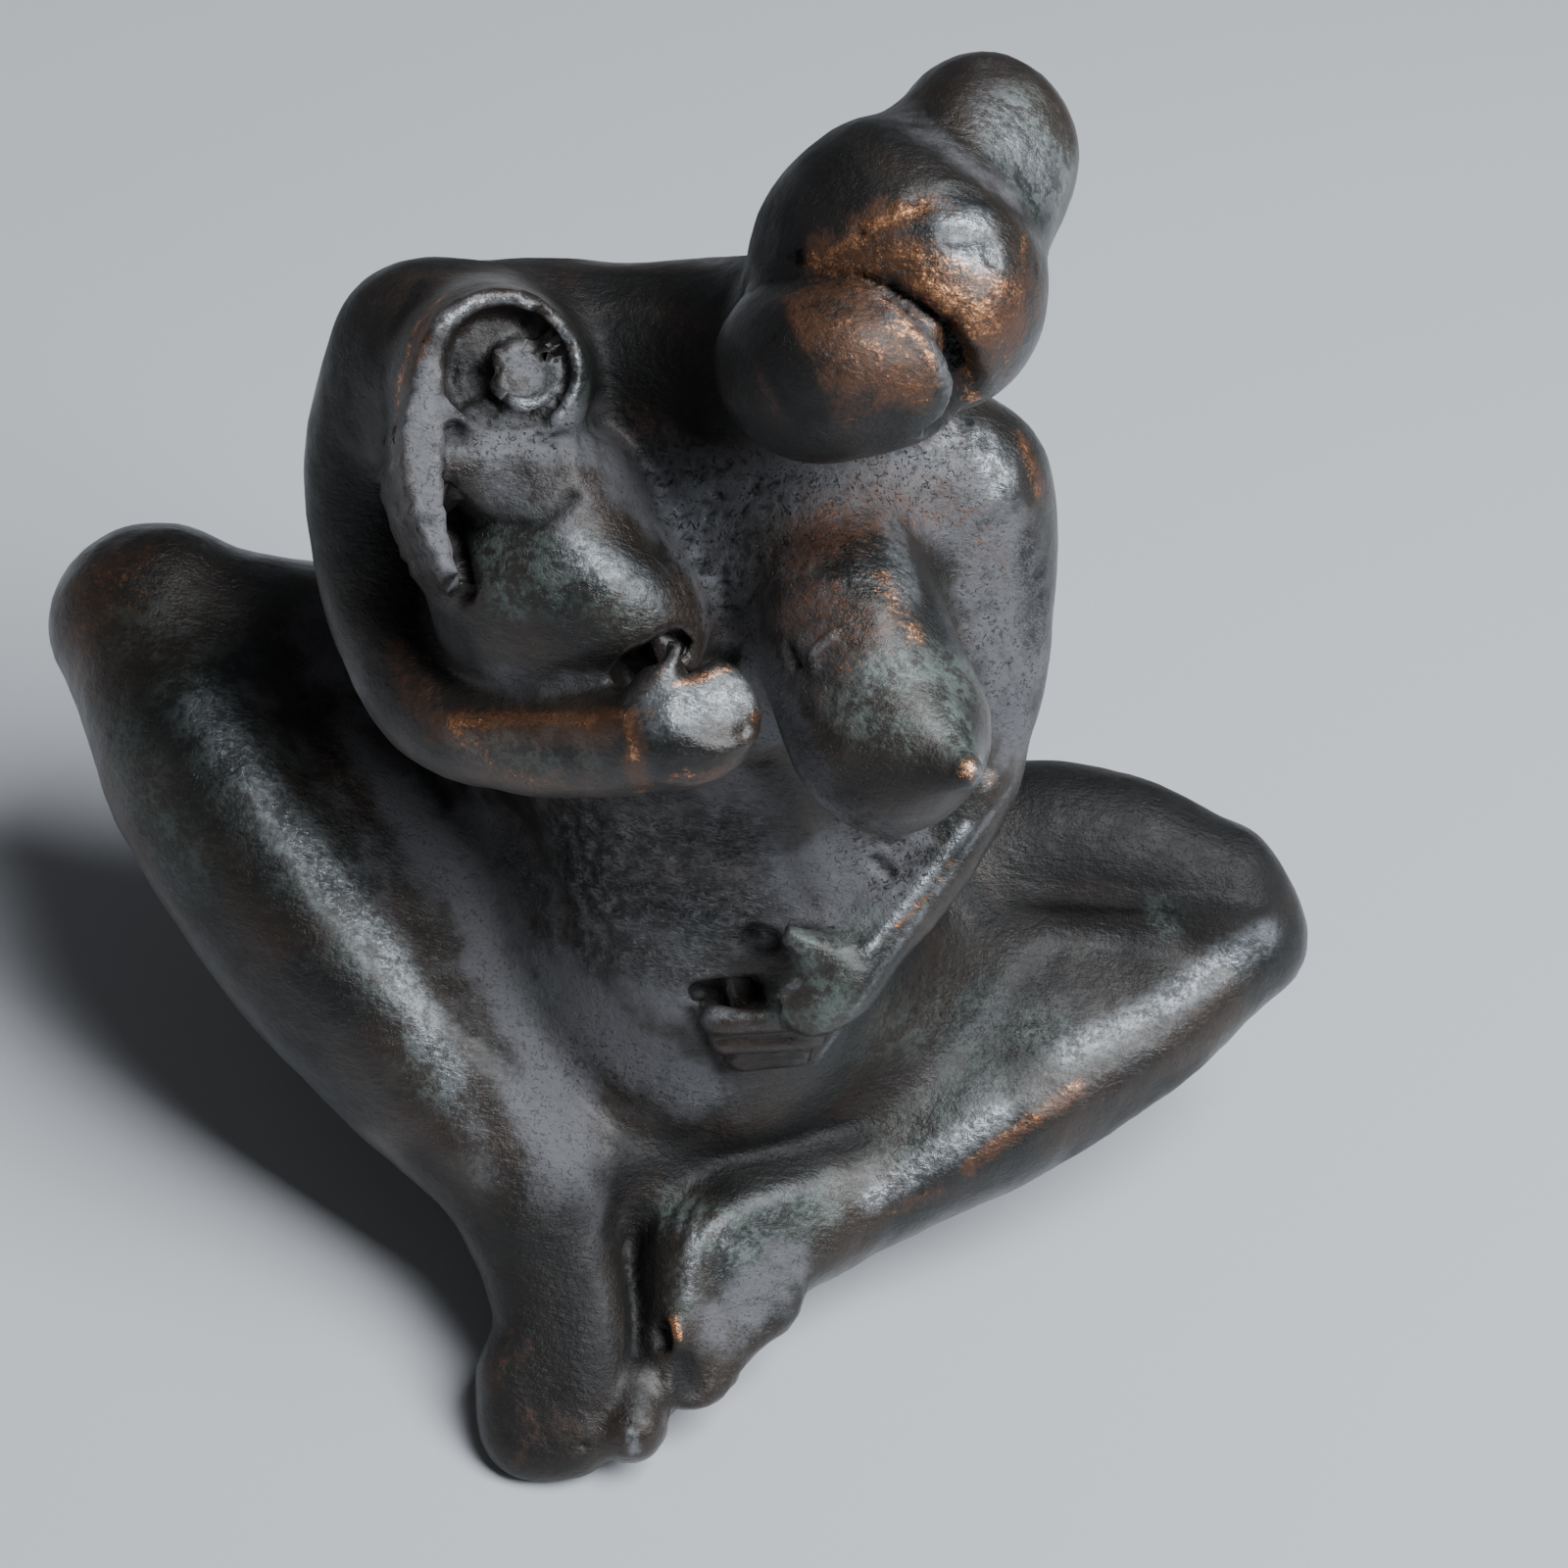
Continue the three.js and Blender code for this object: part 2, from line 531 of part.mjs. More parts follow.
function slope(field, x, y, z, e = 0.05) {
  const g = new THREE.Vector3(
    field(x + e, y, z) - field(x - e, y, z),
    field(x, y + e, z) - field(x, y - e, z),
    field(x, y, z + e) - field(x, y, z - e),
  );
  return g.divideScalar(2 * e);
}

function ontoSkin(field, p, furthest) {
  const start = p.clone();
  for (let pass = 0; pass < 3; pass++) {
    const g = slope(field, p.x, p.y, p.z);
    const steepness = Math.max(g.lengthSq(), 0.25);
    p.addScaledVector(g, -field(p.x, p.y, p.z) / steepness);
  }
  return p.sub(start).clampLength(0, furthest).add(start);
}

function drawSkin(field, low, high, step) {
  const { values, count, at } = measure(field, low, high, step);
  const [nx, ny, nz] = count;
  const points = [];
  const faces = [];
  const cells = new Map();
  for (let k = 0; k < nz - 1; k++) {
    for (let j = 0; j < ny - 1; j++) {
      for (let i = 0; i < nx - 1; i++) {
        const v = CORNERS.map((c) => values[at(i + (c & 1), j + ((c >> 1) & 1), k + (c >> 2))]);
        const inside = v.map((d) => d < 0);
        if (inside.every((flag) => flag === inside[0])) continue;
        const sheets = sheetsOf(inside);
        const pointOf = new Map();
        for (const sheet of new Set(sheets.filter((value) => value >= 0))) {
          const sum = new THREE.Vector3();
          const edges = CELL_EDGES.filter((_, n) => sheets[n] === sheet);
          for (const [a, b] of edges) {
            const from = new THREE.Vector3(...placeOf(a));
            sum.add(from.lerp(new THREE.Vector3(...placeOf(b)), v[a] / (v[a] - v[b])));
          }
          sum.divideScalar(edges.length).add(new THREE.Vector3(i, j, k)).multiplyScalar(step);
          sum.add(new THREE.Vector3(...low));
          pointOf.set(sheet, points.push(ontoSkin(field, sum, step * FURTHEST_MOVE)) - 1);
        }
        cells.set(at(i, j, k), sheets.map((sheet) => pointOf.get(sheet)));
      }
    }
  }
  for (let k = 1; k < nz - 1; k++) {
    for (let j = 1; j < ny - 1; j++) {
      for (let i = 1; i < nx - 1; i++) {
        const solid = values[at(i, j, k)] < 0;
        BITS.forEach((bit, axis) => {
          const [di, dj, dk] = placeOf(bit);
          if (solid === values[at(i + di, j + dj, k + dk)] < 0) return;
          const quad = ROUND.map(([p, q]) => {
            const back = [0, 0, 0];
            back[(axis + 1) % 3] = p;
            back[(axis + 2) % 3] = q;
            const corner = back[0] + 2 * back[1] + 4 * back[2];
            return cells.get(at(i - back[0], j - back[1], k - back[2]))[edgeFrom(corner, bit)];
          });
          if (!solid) quad.reverse();
          faces.push([quad[0], quad[1], quad[2]], [quad[0], quad[2], quad[3]]);
        });
      }
    }
  }
  return { points, faces };
}

// Thinning: the edge whose loss changes the form least is closed up, again and again, until the
// wanted number of triangles is left. Each point carries the sum of its faces' squared distances.
class Plumb {
  constructor() {
    this.m = new Float64Array(10);
  }

  addPlane(n, d, weight) {
    const v = [n.x, n.y, n.z, d];
    let term = 0;
    for (let i = 0; i < 4; i++) {
      for (let j = i; j < 4; j++) {
        this.m[term] += weight * v[i] * v[j];
        term += 1;
      }
    }
  }

  add(other) {
    for (let i = 0; i < 10; i++) this.m[i] += other.m[i];
    return this;
  }

  cost({ x, y, z }) {
    const [xx, xy, xz, xw, yy, yz, yw, zz, zw, ww] = this.m;
    const square = xx * x * x + yy * y * y + zz * z * z;
    return square + 2 * (xy * x * y + xz * x * z + yz * y * z + xw * x + yw * y + zw * z) + ww;
  }

  lowest(fallback) {
    const [xx, xy, xz, xw, yy, yz, yw, zz, zw] = this.m;
    const best = new THREE.Matrix3().set(xx, xy, xz, xy, yy, yz, xz, yz, zz);
    const size = xx + yy + zz;
    if (Math.abs(best.determinant()) < 1e-5 * size ** 3) return fallback;
    return new THREE.Vector3(-xw, -yw, -zw).applyMatrix3(best.invert());
  }
}

class Queue {
  constructor() {
    this.items = [];
  }

  push(item) {
    const { items } = this;
    let n = items.push(item) - 1;
    while (n > 0) {
      const up = (n - 1) >> 1;
      if (items[up].cost <= items[n].cost) break;
      [items[up], items[n]] = [items[n], items[up]];
      n = up;
    }
  }

  pop() {
    const { items } = this;
    const top = items[0];
    const last = items.pop();
    if (items.length === 0) return top;
    items[0] = last;
    for (let n = 0; ; ) {
      let least = n;
      for (const child of [2 * n + 1, 2 * n + 2]) {
        if (child < items.length && items[child].cost < items[least].cost) least = child;
      }
      if (least === n) return top;
      [items[least], items[n]] = [items[n], items[least]];
      n = least;
    }
  }
}

// A little of each point's own place is added to its sum, and no face may be turned further than
// this cosine.
const STEADYING = 0.002;
const LEAST_TURN = 0.35;

function thin({ points, faces }, wanted) {
  const plumbs = points.map(() => new Plumb());
  const around = points.map(() => new Set());
  const version = new Int32Array(points.length);
  const triangle = new THREE.Triangle();
  const normalOf = (f) => {
    triangle.set(...f.map((i) => points[i]));
    return triangle.getNormal(new THREE.Vector3());
  };
  faces.forEach((f) => {
    const normal = normalOf(f);
    const area = triangle.getArea();
    for (const i of f) {
      around[i].add(f);
      plumbs[i].addPlane(normal, -normal.dot(points[f[0]]), area);
    }
  });
  points.forEach((p, i) => {
    for (const axis of ['x', 'y', 'z']) {
      plumbs[i].addPlane(new THREE.Vector3().setComponent('xyz'.indexOf(axis), 1), -p[axis], STEADYING);
    }
  });
  const queue = new Queue();
  const offer = (a, b) => {
    const both = new Plumb().add(plumbs[a]).add(plumbs[b]);
    const middle = points[a].clone().lerp(points[b], 0.5);
    let place = both.lowest(middle);
    if (place.distanceTo(middle) > points[a].distanceTo(points[b])) place = middle;
    queue.push({ cost: both.cost(place), a, b, place, va: version[a], vb: version[b] });
  };
  const neighbours = (i) => new Set([...around[i]].flat().filter((n) => n !== i));
  points.forEach((_, i) => {
    for (const n of neighbours(i)) if (i < n) offer(i, n);
  });
  const turns = (i, other, place) => {
    for (const f of around[i]) {
      if (f.includes(other)) continue;
      const before = normalOf(f);
      triangle.set(...f.map((n) => (n === i ? place : points[n])));
      if (triangle.getArea() < 1e-3) return true;
      if (triangle.getNormal(new THREE.Vector3()).dot(before) < LEAST_TURN) return true;
    }
    return false;
  };
  let left = faces.length;
  while (left > wanted && queue.items.length) {
    const { a, b, place, va, vb } = queue.pop();
    if (version[a] !== va || version[b] !== vb) continue;
    const shared = [...neighbours(a)].filter((n) => around[b].size && neighbours(b).has(n));
    if (shared.length !== 2 || turns(a, b, place) || turns(b, a, place)) continue;
    for (const f of [...around[b]]) {
      if (f.includes(a)) {
        for (const i of f) around[i].delete(f);
        left -= 1;
      } else {
        f[f.indexOf(b)] = a;
        around[a].add(f);
      }
    }
    around[b].clear();
    points[a] = place;
    plumbs[a].add(plumbs[b]);
    version[a] += 1;
    version[b] += 1;
    for (const n of neighbours(a)) offer(a, n);
  }
  const kept = new Set(around.flatMap((set) => [...set]));
  return { points, faces: [...kept] };
}

// Solids
function geometryOf({ points, faces }) {
  const geometry = new THREE.BufferGeometry();
  const places = points.flatMap((p) => p.toArray());
  geometry.setAttribute('position', new THREE.Float32BufferAttribute(places, 3));
  geometry.setIndex(faces.flat());
  return geometry;
}

const wasm = await Module();
wasm.setup();

function solidOf(geometry) {
  const bare = geometry.clone();
  bare.deleteAttribute('normal');
  bare.deleteAttribute('uv');
  const merged = mergeVertices(bare, 1e-4);
  return new wasm.Manifold(new wasm.Mesh({
    numProp: 3,
    vertProperties: Float32Array.from(merged.attributes.position.array),
    triVerts: Uint32Array.from(merged.index.array),
  }));
}

function bodyOf(solid) {
  const mesh = solid.getMesh();
  const geometry = new THREE.BufferGeometry();
  geometry.setAttribute('position', new THREE.Float32BufferAttribute(mesh.vertProperties, 3));
  geometry.setIndex([...mesh.triVerts]);
  geometry.computeVertexNormals();
  return geometry;
}

const skin = geometryOf(thin(drawSkin(figure, ROOM_LOW, ROOM_HIGH, SKIN_STEP), TRIANGLES_KEPT));

// The underside is cut flat at Z = 0. Where limbs meet, a small closed pocket can be left deep
// inside: it is dropped, so that the metal is solid there.
const GROUND = [200, 200, 40];
const ground = new THREE.BoxGeometry(...GROUND).translate(0, 0, -GROUND[2] / 2);
const pieces = solidOf(skin).subtract(solidOf(ground)).decompose();
const whole = pieces.reduce((a, b) => (a.volume() > b.volume() ? a : b));
const casting = bodyOf(whole);
casting.translate(-BOX_MIDDLE[0], -BOX_MIDDLE[1], 0);

// Black-brown patinated bronze
const bronze = new THREE.MeshStandardMaterial({ color: 0x2b2724, roughness: 0.42, metalness: 0.85 });

const goddess = new THREE.Mesh(casting, bronze);
goddess.name = 'goddess_figure';

const group = new THREE.Group();
group.add(goddess);

export default group;
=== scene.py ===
"""Seated goddess, a small patinated bronze: its finely worked skin, its finish and the studio."""

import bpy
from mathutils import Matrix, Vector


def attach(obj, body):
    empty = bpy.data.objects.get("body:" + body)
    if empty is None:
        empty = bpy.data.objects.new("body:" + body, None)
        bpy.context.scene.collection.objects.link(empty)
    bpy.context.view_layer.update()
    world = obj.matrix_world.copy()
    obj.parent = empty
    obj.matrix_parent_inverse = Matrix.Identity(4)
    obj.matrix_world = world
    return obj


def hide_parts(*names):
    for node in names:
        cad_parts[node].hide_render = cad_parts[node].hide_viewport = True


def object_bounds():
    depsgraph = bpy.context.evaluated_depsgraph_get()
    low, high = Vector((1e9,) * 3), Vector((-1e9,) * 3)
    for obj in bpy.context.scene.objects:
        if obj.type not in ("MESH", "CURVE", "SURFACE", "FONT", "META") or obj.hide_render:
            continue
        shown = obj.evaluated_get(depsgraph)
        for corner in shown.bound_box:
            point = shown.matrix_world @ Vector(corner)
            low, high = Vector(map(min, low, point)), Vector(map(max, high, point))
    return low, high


bl_info = {
    "name": "Seated Goddess Bronze",
    "version": (1, 0, 0),
    "blender": (4, 5, 0),
    "location": "View3D > Sidebar > Goddess",
    "description": "Models and finishes a small patinated bronze of a seated woman",
    "category": "Object",
}

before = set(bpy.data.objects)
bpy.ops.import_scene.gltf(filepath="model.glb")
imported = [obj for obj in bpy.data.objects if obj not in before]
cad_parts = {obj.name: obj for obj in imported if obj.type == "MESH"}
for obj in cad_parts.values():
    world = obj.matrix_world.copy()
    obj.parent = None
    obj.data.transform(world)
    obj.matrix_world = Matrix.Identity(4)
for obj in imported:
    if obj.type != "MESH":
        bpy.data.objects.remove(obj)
CAD_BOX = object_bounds()

import math
from types import SimpleNamespace as Named

import bmesh
import bpy
import numpy as np
from bpy.props import FloatProperty, FloatVectorProperty, PointerProperty
from mathutils import Matrix, Vector

NODE = "goddess_figure"
MM = 0.001

# The form below is given in millimetres in the frame it was sketched in. The casting's box has
# its middle at this place there.
BOX_MIDDLE = np.array((-1.03, -1.12, 0.0), np.float32)

# Head, bundle and hands lie on a plane that leans back and is spun by these angles, in degrees.
LEAN = 45.0
LEVEL = 13.0

# The camera stands where the photograph's did, in the imported frame's millimetres. Places on the
# skin are given where they show in the picture, across and down.
CAMERA_FROM = (-15.62, -213.88, 272.3)
CAMERA_TO = (8.03, 11.12, 46.0)
CAMERA_ROLL = 13.0
CAMERA_LENS = 77.0
SENSOR = 36.0
PICTURE = 1600


def camera_axes():
    back = (Vector(CAMERA_FROM) - Vector(CAMERA_TO)).normalized()
    right = Vector((0, 0, 1)).cross(back).normalized()
    up = back.cross(right)
    turn = Matrix.Rotation(math.radians(CAMERA_ROLL), 3, back)
    return turn @ right, turn @ up, back


# Basic forms: each takes points and gives their distance to the form's skin, negative inside


def vec(*values):
    return np.array(values, np.float32)


def dot(a, b):
    return np.einsum("ij,ij->i", a, b)


def length(q):
    return np.sqrt(dot(q, q))


def smoothstep(value, low, high):
    t = np.clip((value - low) / (high - low), 0, 1)
    return t * t * (3 - 2 * t)


def leaning(tilt, spin):
    """The turn that spins a form about its own axis and then tilts it back, in degrees."""
    turned = Matrix.Rotation(math.radians(tilt), 3, "X") @ Matrix.Rotation(math.radians(spin), 3, "Z")
    return np.array(turned, np.float32)


def egg(p, centre, radii, tilt=0.0, spin=0.0):
    q = (p - vec(*centre)) @ leaning(tilt, spin)
    r = vec(*radii)
    size = length(q / r)
    slope = length(q / (r * r))
    return size * (size - 1) / np.maximum(slope, 1e-6)


def block(p, centre, halves, radius, tilt, spin):
    """A box with rounded edges."""
    q = np.abs((p - vec(*centre)) @ leaning(tilt, spin)) - (vec(*halves) - radius)
    return length(np.maximum(q, 0)) + np.minimum(q.max(1), 0) - radius


def below(p, through, way):
    """Everything below a plane, given by a point on it and the way that it faces."""
    face = vec(*way) / np.float32(math.hypot(*way))
    return (p - vec(*through)) @ face


def stick(p, start, end):
    """A straight rod with round ends, each given by x, y, z and radius."""
    a, b = vec(*start[:3]), vec(*end[:3])
    t = np.clip((p - a) @ (b - a) / np.float32((b - a) @ (b - a)), 0, 1)
    return length(p - a - t[:, None] * (b - a)) - (start[3] + t * (end[3] - start[3]))


# A limb's curve is searched in straight chords first, then in short steps along the curve
CHORDS_PER_SPAN = 3
LONGEST_STEP = 0.4
LEAST_STIFFNESS = 0.3


def limb(p, stations):
    """A round limb along a smooth curve through stations, each of x, y, z and radius."""
    s = np.array(stations, np.float32)
    before, after = 2 * s[0] - s[1], 2 * s[-1] - s[-2]
    before[3], after[3] = s[1][3], s[-2][3]
    path = np.vstack([before, s, after])
    spans = []
    for a, b, c, d in zip(path[:-3], path[1:-2], path[2:-1], path[3:]):
        spans.append([b, (c - a) / 2, a - 2.5 * b + 2 * c - d / 2, (3 * b - a - 3 * c + d) / 2])
    spans = np.array(spans, np.float32)
    ticks = np.arange(len(spans) * CHORDS_PER_SPAN + 1) / CHORDS_PER_SPAN
    which = np.minimum(ticks.astype(int), len(spans) - 1)
    t = (ticks - which).astype(np.float32)[:, None]
    k = spans[which, :, :3]
    knots = k[:, 0] + t * (k[:, 1] + t * (k[:, 2] + t * k[:, 3]))
    nearest = np.full(len(p), np.inf, np.float32)
    along = np.zeros(len(p), np.float32)
    for n, (a, b) in enumerate(zip(knots[:-1], knots[1:])):
        u = np.clip((p - a) @ (b - a) / np.float32((b - a) @ (b - a)), 0, 1)
        gap = length(p - a - u[:, None] * (b - a))
        closer = gap < nearest
        nearest = np.where(closer, gap, nearest)
        along = np.where(closer, (n + u) / CHORDS_PER_SPAN, along)
    for final in (False, False, True):
        which = np.clip(along.astype(int), 0, len(spans) - 1)
        t = (along - which).astype(np.float32)[:, None]
        k = spans[which]
        place = k[:, 0] + t * (k[:, 1] + t * (k[:, 2] + t * k[:, 3]))
        if final:
            return length(p - place[:, :3]) - place[:, 3]
        speed = (k[:, 1] + t * (2 * k[:, 2] + 3 * t * k[:, 3]))[:, :3]
        bend = (2 * k[:, 2] + 6 * t * k[:, 3])[:, :3]
        off = place[:, :3] - p
        run = dot(speed, speed)
        stiff = np.maximum(run + dot(off, bend), LEAST_STIFFNESS * run)
        step = np.clip(dot(off, speed) / stiff, -LONGEST_STEP, LONGEST_STEP)
        along = np.clip(along - step, 0, len(spans)).astype(np.float32)


def join(a, b, k):
    """Both forms in one, with a fillet about k wide between them."""
    h = np.maximum(k - np.abs(a - b), 0) / k
    return np.minimum(a, b) - h * h * k * 0.25


def both(a, b, k):
    """What two forms share, its edge rounded over about k."""
    return -join(-a, -b, k)


def cut(a, b, k):
    return both(a, -b, k)


FACING = leaning(LEAN, LEVEL)
SLOT_EDGE = 0.5


def slot(p, start, end, radius, depth):
    """A slot seen from above in front, so wide and so deep below the line from start to end."""
    q = (p - vec(*start)) @ FACING
    way = (vec(*end) - vec(*start)) @ FACING
    t = np.clip(q[:, :2] @ way[:2] / np.float32(way[:2] @ way[:2]), 0, 1)
    side = length(q[:, :2] - t[:, None] * way[:2]) - radius
    return both(side, -(q[:, 2] - t * way[2] + depth), SLOT_EDGE)


# The figure's masses


def trunk(p):
    hips = egg(p, (-3, 13, 19), (38, 25, 24))
    belly = egg(p, (2.5, 5, 36), (19, 19.5, 32), -14)
    chest = egg(p, (-1.5, 10, 67), (27, 18, 23))
    back = egg(p, (-6, 20, 52), (27, 15, 38))
    shoulders = limb(p, [
        (-30.8, 13.8, 88, 8), (-18.5, 14.8, 88.6, 8.8), (-4, 14.8, 88.4, 7.9), (7, 13.8, 86.8, 7.7),
        (17, 13, 83.4, 5.9),
    ])
    neck = stick(p, (-4, 14, 90, 9.5), (3, 8, 102.5, 8.5))
    d = join(hips, belly, 7)
    d = join(d, chest, 10)
    d = join(d, back, 10)
    d = join(d, shoulders, 8)
    buttocks = join(egg(p, (-17, 25, 16), (17, 14, 16)), egg(p, (12, 25, 15), (17, 14, 15)), 3)
    return join(join(d, buttocks, 6), neck, 7)


def face_form(p):
    face = egg(p, (2.7, -5, 108.6), (8.9, 7.4, 10), LEAN, 20)
    cheek = egg(p, (7.8, -5.3, 108.3), (4.4, 4.2, 7.5), LEAN, LEVEL)
    jowl = egg(p, (-0.2, -1, 105), (7, 7, 7.8), LEAN, LEVEL)
    return join(join(face, cheek, 3), jowl, 4)


# The hair's two big masses: centre, radii, tilt, spin
CROWN = ((5.4, 6, 111.2), (12.2, 11.1, 12.5), LEAN, 61)
SIDE_HAIR = ((9.4, 0, 112.3), (8.2, 8.4, 9.3), LEAN, LEVEL)


def head(p):
    knot = egg(p, (11.6, 16, 115.1), (8.3, 8.9, 9.3), LEAN, -7)
    knot = both(knot, below(p, (14.3, 10, 121.3), (0.349, -0.445, 0.825)), 3)
    hair = join(join(egg(p, *CROWN), egg(p, *SIDE_HAIR), 5), knot, 5)
    skull = egg(p, (5, 5.5, 109.5), (8, 8, 8), LEAN, LEVEL)
    return join(hair, join(face_form(p), skull, 1.5), 0.3)


# The hood has its own flat frame: u across, v up and n outward, from its middle
HOOD_MIDDLE = (-24.5, -1.5, 98.8)
HOOD_OUT = vec(0.1951, -0.6613, 0.7243)
HOOD_UP = vec(-0.1500, 0.7100, 0.6881)
HOOD_ACROSS = np.cross(HOOD_UP, HOOD_OUT).astype(np.float32)
COWL = Named(u=0.6, v=0.2, radius=7.0, flare=0.3, depth=13.0)
CHIN = Named(below=-4.6, above=-3.0, sunk=1.1, clear=0.6)
LAPEL = Named(top=1.0, start=0.5, foot=-17.5, outer=-6.2, bow=8.2, lean=2.6, width=3.6, taper=2.8,
              ragged=0.14, waves=(2.9, 4.7))
HOLLOW = Named(u=1.0, v=0.8, radius=5.2, depth=3.0)
DISC = Named(u=2.5, v=0.5, radius=3.0, sunk=1.3, rim=0.5, rim_at=2.55)
BIB = Named(u=1.5, v=-6.3, radius=5.5, ridge=-6.5, sunk=0.2, rise=0.45, fall=0.42)


def hood(p):
    u, v, n = ((p - vec(*HOOD_MIDDLE)) @ axis for axis in (HOOD_ACROSS, HOOD_UP, HOOD_OUT))
    cone = np.hypot(u - COWL.u, v - COWL.v) - COWL.radius + COWL.flare * n
    cone = cone / math.hypot(1, COWL.flare)
    chin = (CHIN.sunk + CHIN.clear) * (1 - smoothstep(v, CHIN.below, CHIN.above)) - CHIN.clear
    cowl = both(cone, n + chin, 0.4)
    t = np.clip((LAPEL.start - v) / (LAPEL.start - LAPEL.foot), 0, 1)
    ragged = LAPEL.ragged * (np.sin(LAPEL.waves[0] * v) + np.sin(LAPEL.waves[1] * v + 1))
    outer = LAPEL.outer - LAPEL.bow * t * (1 - t) + LAPEL.lean * t * t + ragged
    inner = outer + LAPEL.width - LAPEL.taper * t ** 3 - 1.5 * ragged
    band = np.maximum.reduce([outer - u, u - inner, LAPEL.foot - v, v - LAPEL.top])
    d = both(join(cowl, band, 0.6), n, 0.2)
    hollow = np.hypot(u - HOLLOW.u, v - HOLLOW.v) - HOLLOW.radius
    d = cut(d, both(hollow, -(n + HOLLOW.depth), 0.8), 0.5)
    ring = np.hypot(u - DISC.u, v - DISC.v)
    disc = both(ring - DISC.radius, n + DISC.sunk, 0.5)
    rim = np.hypot(ring - DISC.rim_at, n + DISC.sunk) - DISC.rim
    d = join(d, join(disc, rim, 0.3), 0.3)
    up = v - BIB.ridge
    roof = both(n + BIB.sunk + BIB.rise * up, n + BIB.sunk - BIB.fall * up, 1.6)
    bib = both(np.hypot(u - BIB.u, v - BIB.v) - BIB.radius, roof, 0.5)
    return both(join(d, bib, 0.5), -(n + COWL.depth), 1)


def bundle(p):
    lobe = egg(p, (-14.8, -5.2, 80.7), (11.6, 8, 10.1), LEAN, -27)
    low = egg(p, (-19.5, -5.5, 76), (8.5, 6.5, 8.5), LEAN, -27)
    root = egg(p, (-18.9, 1, 86), (8, 6.3, 9.5), LEAN, -17)
    return join(join(join(lobe, root, 4), low, 6), hood(p), 0.8)


def right_arm(p):
    return limb(p, [
        (-31.2, 10, 90.7, 8), (-34, 7, 80.5, 6.4), (-31.5, 0, 71, 5.6), (-26, -8, 67.5, 5.1),
        (-19, -14, 70.5, 4.6), (-11.5, -18.5, 76, 4.4), (-6.5, -20.5, 80.5, 4.3),
    ])


def left_arm(p):
    return limb(p, [
        (16.5, 12, 84.4, 6.2), (20.1, 10, 74.5, 6), (22.2, 5.4, 62, 4.9), (22.9, 1.6, 57.6, 4),
        (21, -4.2, 53, 3.1), (17.2, -9.3, 48.8, 2.9), (14, -12.8, 46.2, 3.3),
    ])


def breast(p):
    cone = limb(p, [(4.5, 1.5, 83, 7.5), (8, -6, 81, 8.3), (12, -12.3, 77, 8.5)])
    nipple = stick(p, (13.8, -15.2, 78, 6.5), (17.9, -20.8, 81.6, 1.7))
    return join(cone, nipple, 4)


def legs(p):
    right_shin = limb(p, [
        (-57, 23, 41, 8.6), (-45.5, 6.5, 38, 10.8), (-32, -3.5, 29.5, 11.8), (-21.2, -11.5, 22, 9.6),
        (-10.8, -19.5, 15.5, 7),
    ])
    right_thigh = limb(p, [(-54, 23.5, 43, 8.4), (-38, 20.5, 38, 12.8), (-23.5, 18, 28, 16)])
    right_calf = limb(p, [(-39, 9, 37, 10.5), (-20.5, -0.5, 30.5, 12.8), (-8, -10.5, 21, 10)])
    right = join(join(right_shin, right_thigh, 4), right_calf, 4)
    right = both(right, below(p, (-31.5, -6.6, 40.5), (0.439, -0.288, 0.851)), 1.5)
    left_shin = limb(p, [
        (56.3, 16.7, 27.6, 7.2), (46, 7.9, 22.3, 8.5), (32.2, -1.5, 17.2, 9.1), (23, -8.5, 13.8, 7.6),
        (15.9, -13.8, 12.2, 6.8),
    ])
    left_calf = limb(p, [(46.1, 13.5, 23.9, 8), (34.6, 9.3, 21.3, 10.5), (23.5, 2.9, 16.7, 10.5)])
    left_thigh = limb(p, [
        (52.5, 18.2, 32.9, 6.8), (41.6, 19.9, 33.7, 8), (31.8, 19.5, 31.9, 9),
        (23.7, 13.7, 24.5, 11.5), (16.9, 4.7, 19.2, 12),
    ])
    left = both(join(left_shin, left_calf, 4), below(p, (38.4, -1.9, 27), (-0.117, -0.285, 0.951)), 3.5)
    left = join(left, left_thigh, 4)
    lap = join(egg(p, (1, -1, 14), (16, 14, 14)), egg(p, (1, -12.5, 11), (10, 9.5, 10)), 4)
    return join(join(right, left, 4), lap, 5)


LEFT_INSTEP = (4.3, -28.7, 16)


def feet(p):
    right = limb(p, [
        (-10.8, -19.5, 15.5, 7), (-6.3, -27.7, 9.7, 6.6), (-6, -32.3, 5.8, 7.2),
        (-5.9, -34.8, 3.6, 6.4),
    ])
    right = join(right, block(p, (-6.1, -35.1, 3.5), (6, 5.4, 5.4), 3.9, LEAN, LEVEL), 3)
    right = both(right, below(p, (-6.3, -37.8, 8.4), (-0.158, -0.677, 0.719)), 2.5)
    right = join(right, stick(p, (1.4, -33.5, 6.9, 3), (1.6, -36.6, 5.2, 3.7)), 1)
    left = limb(p, [
        (16.4, -13.6, 13.1, 7), (10.2, -18.5, 12.3, 8), (7.6, -24.2, 11.2, 8.2), (6, -30, 8.8, 5.6),
    ])
    left = both(left, below(p, LEFT_INSTEP, (0.439, -0.614, 0.656)), 1)
    left = both(left, below(p, LEFT_INSTEP, (-0.662, -0.523, 0.536)), 1)
    return join(right, left, 1)


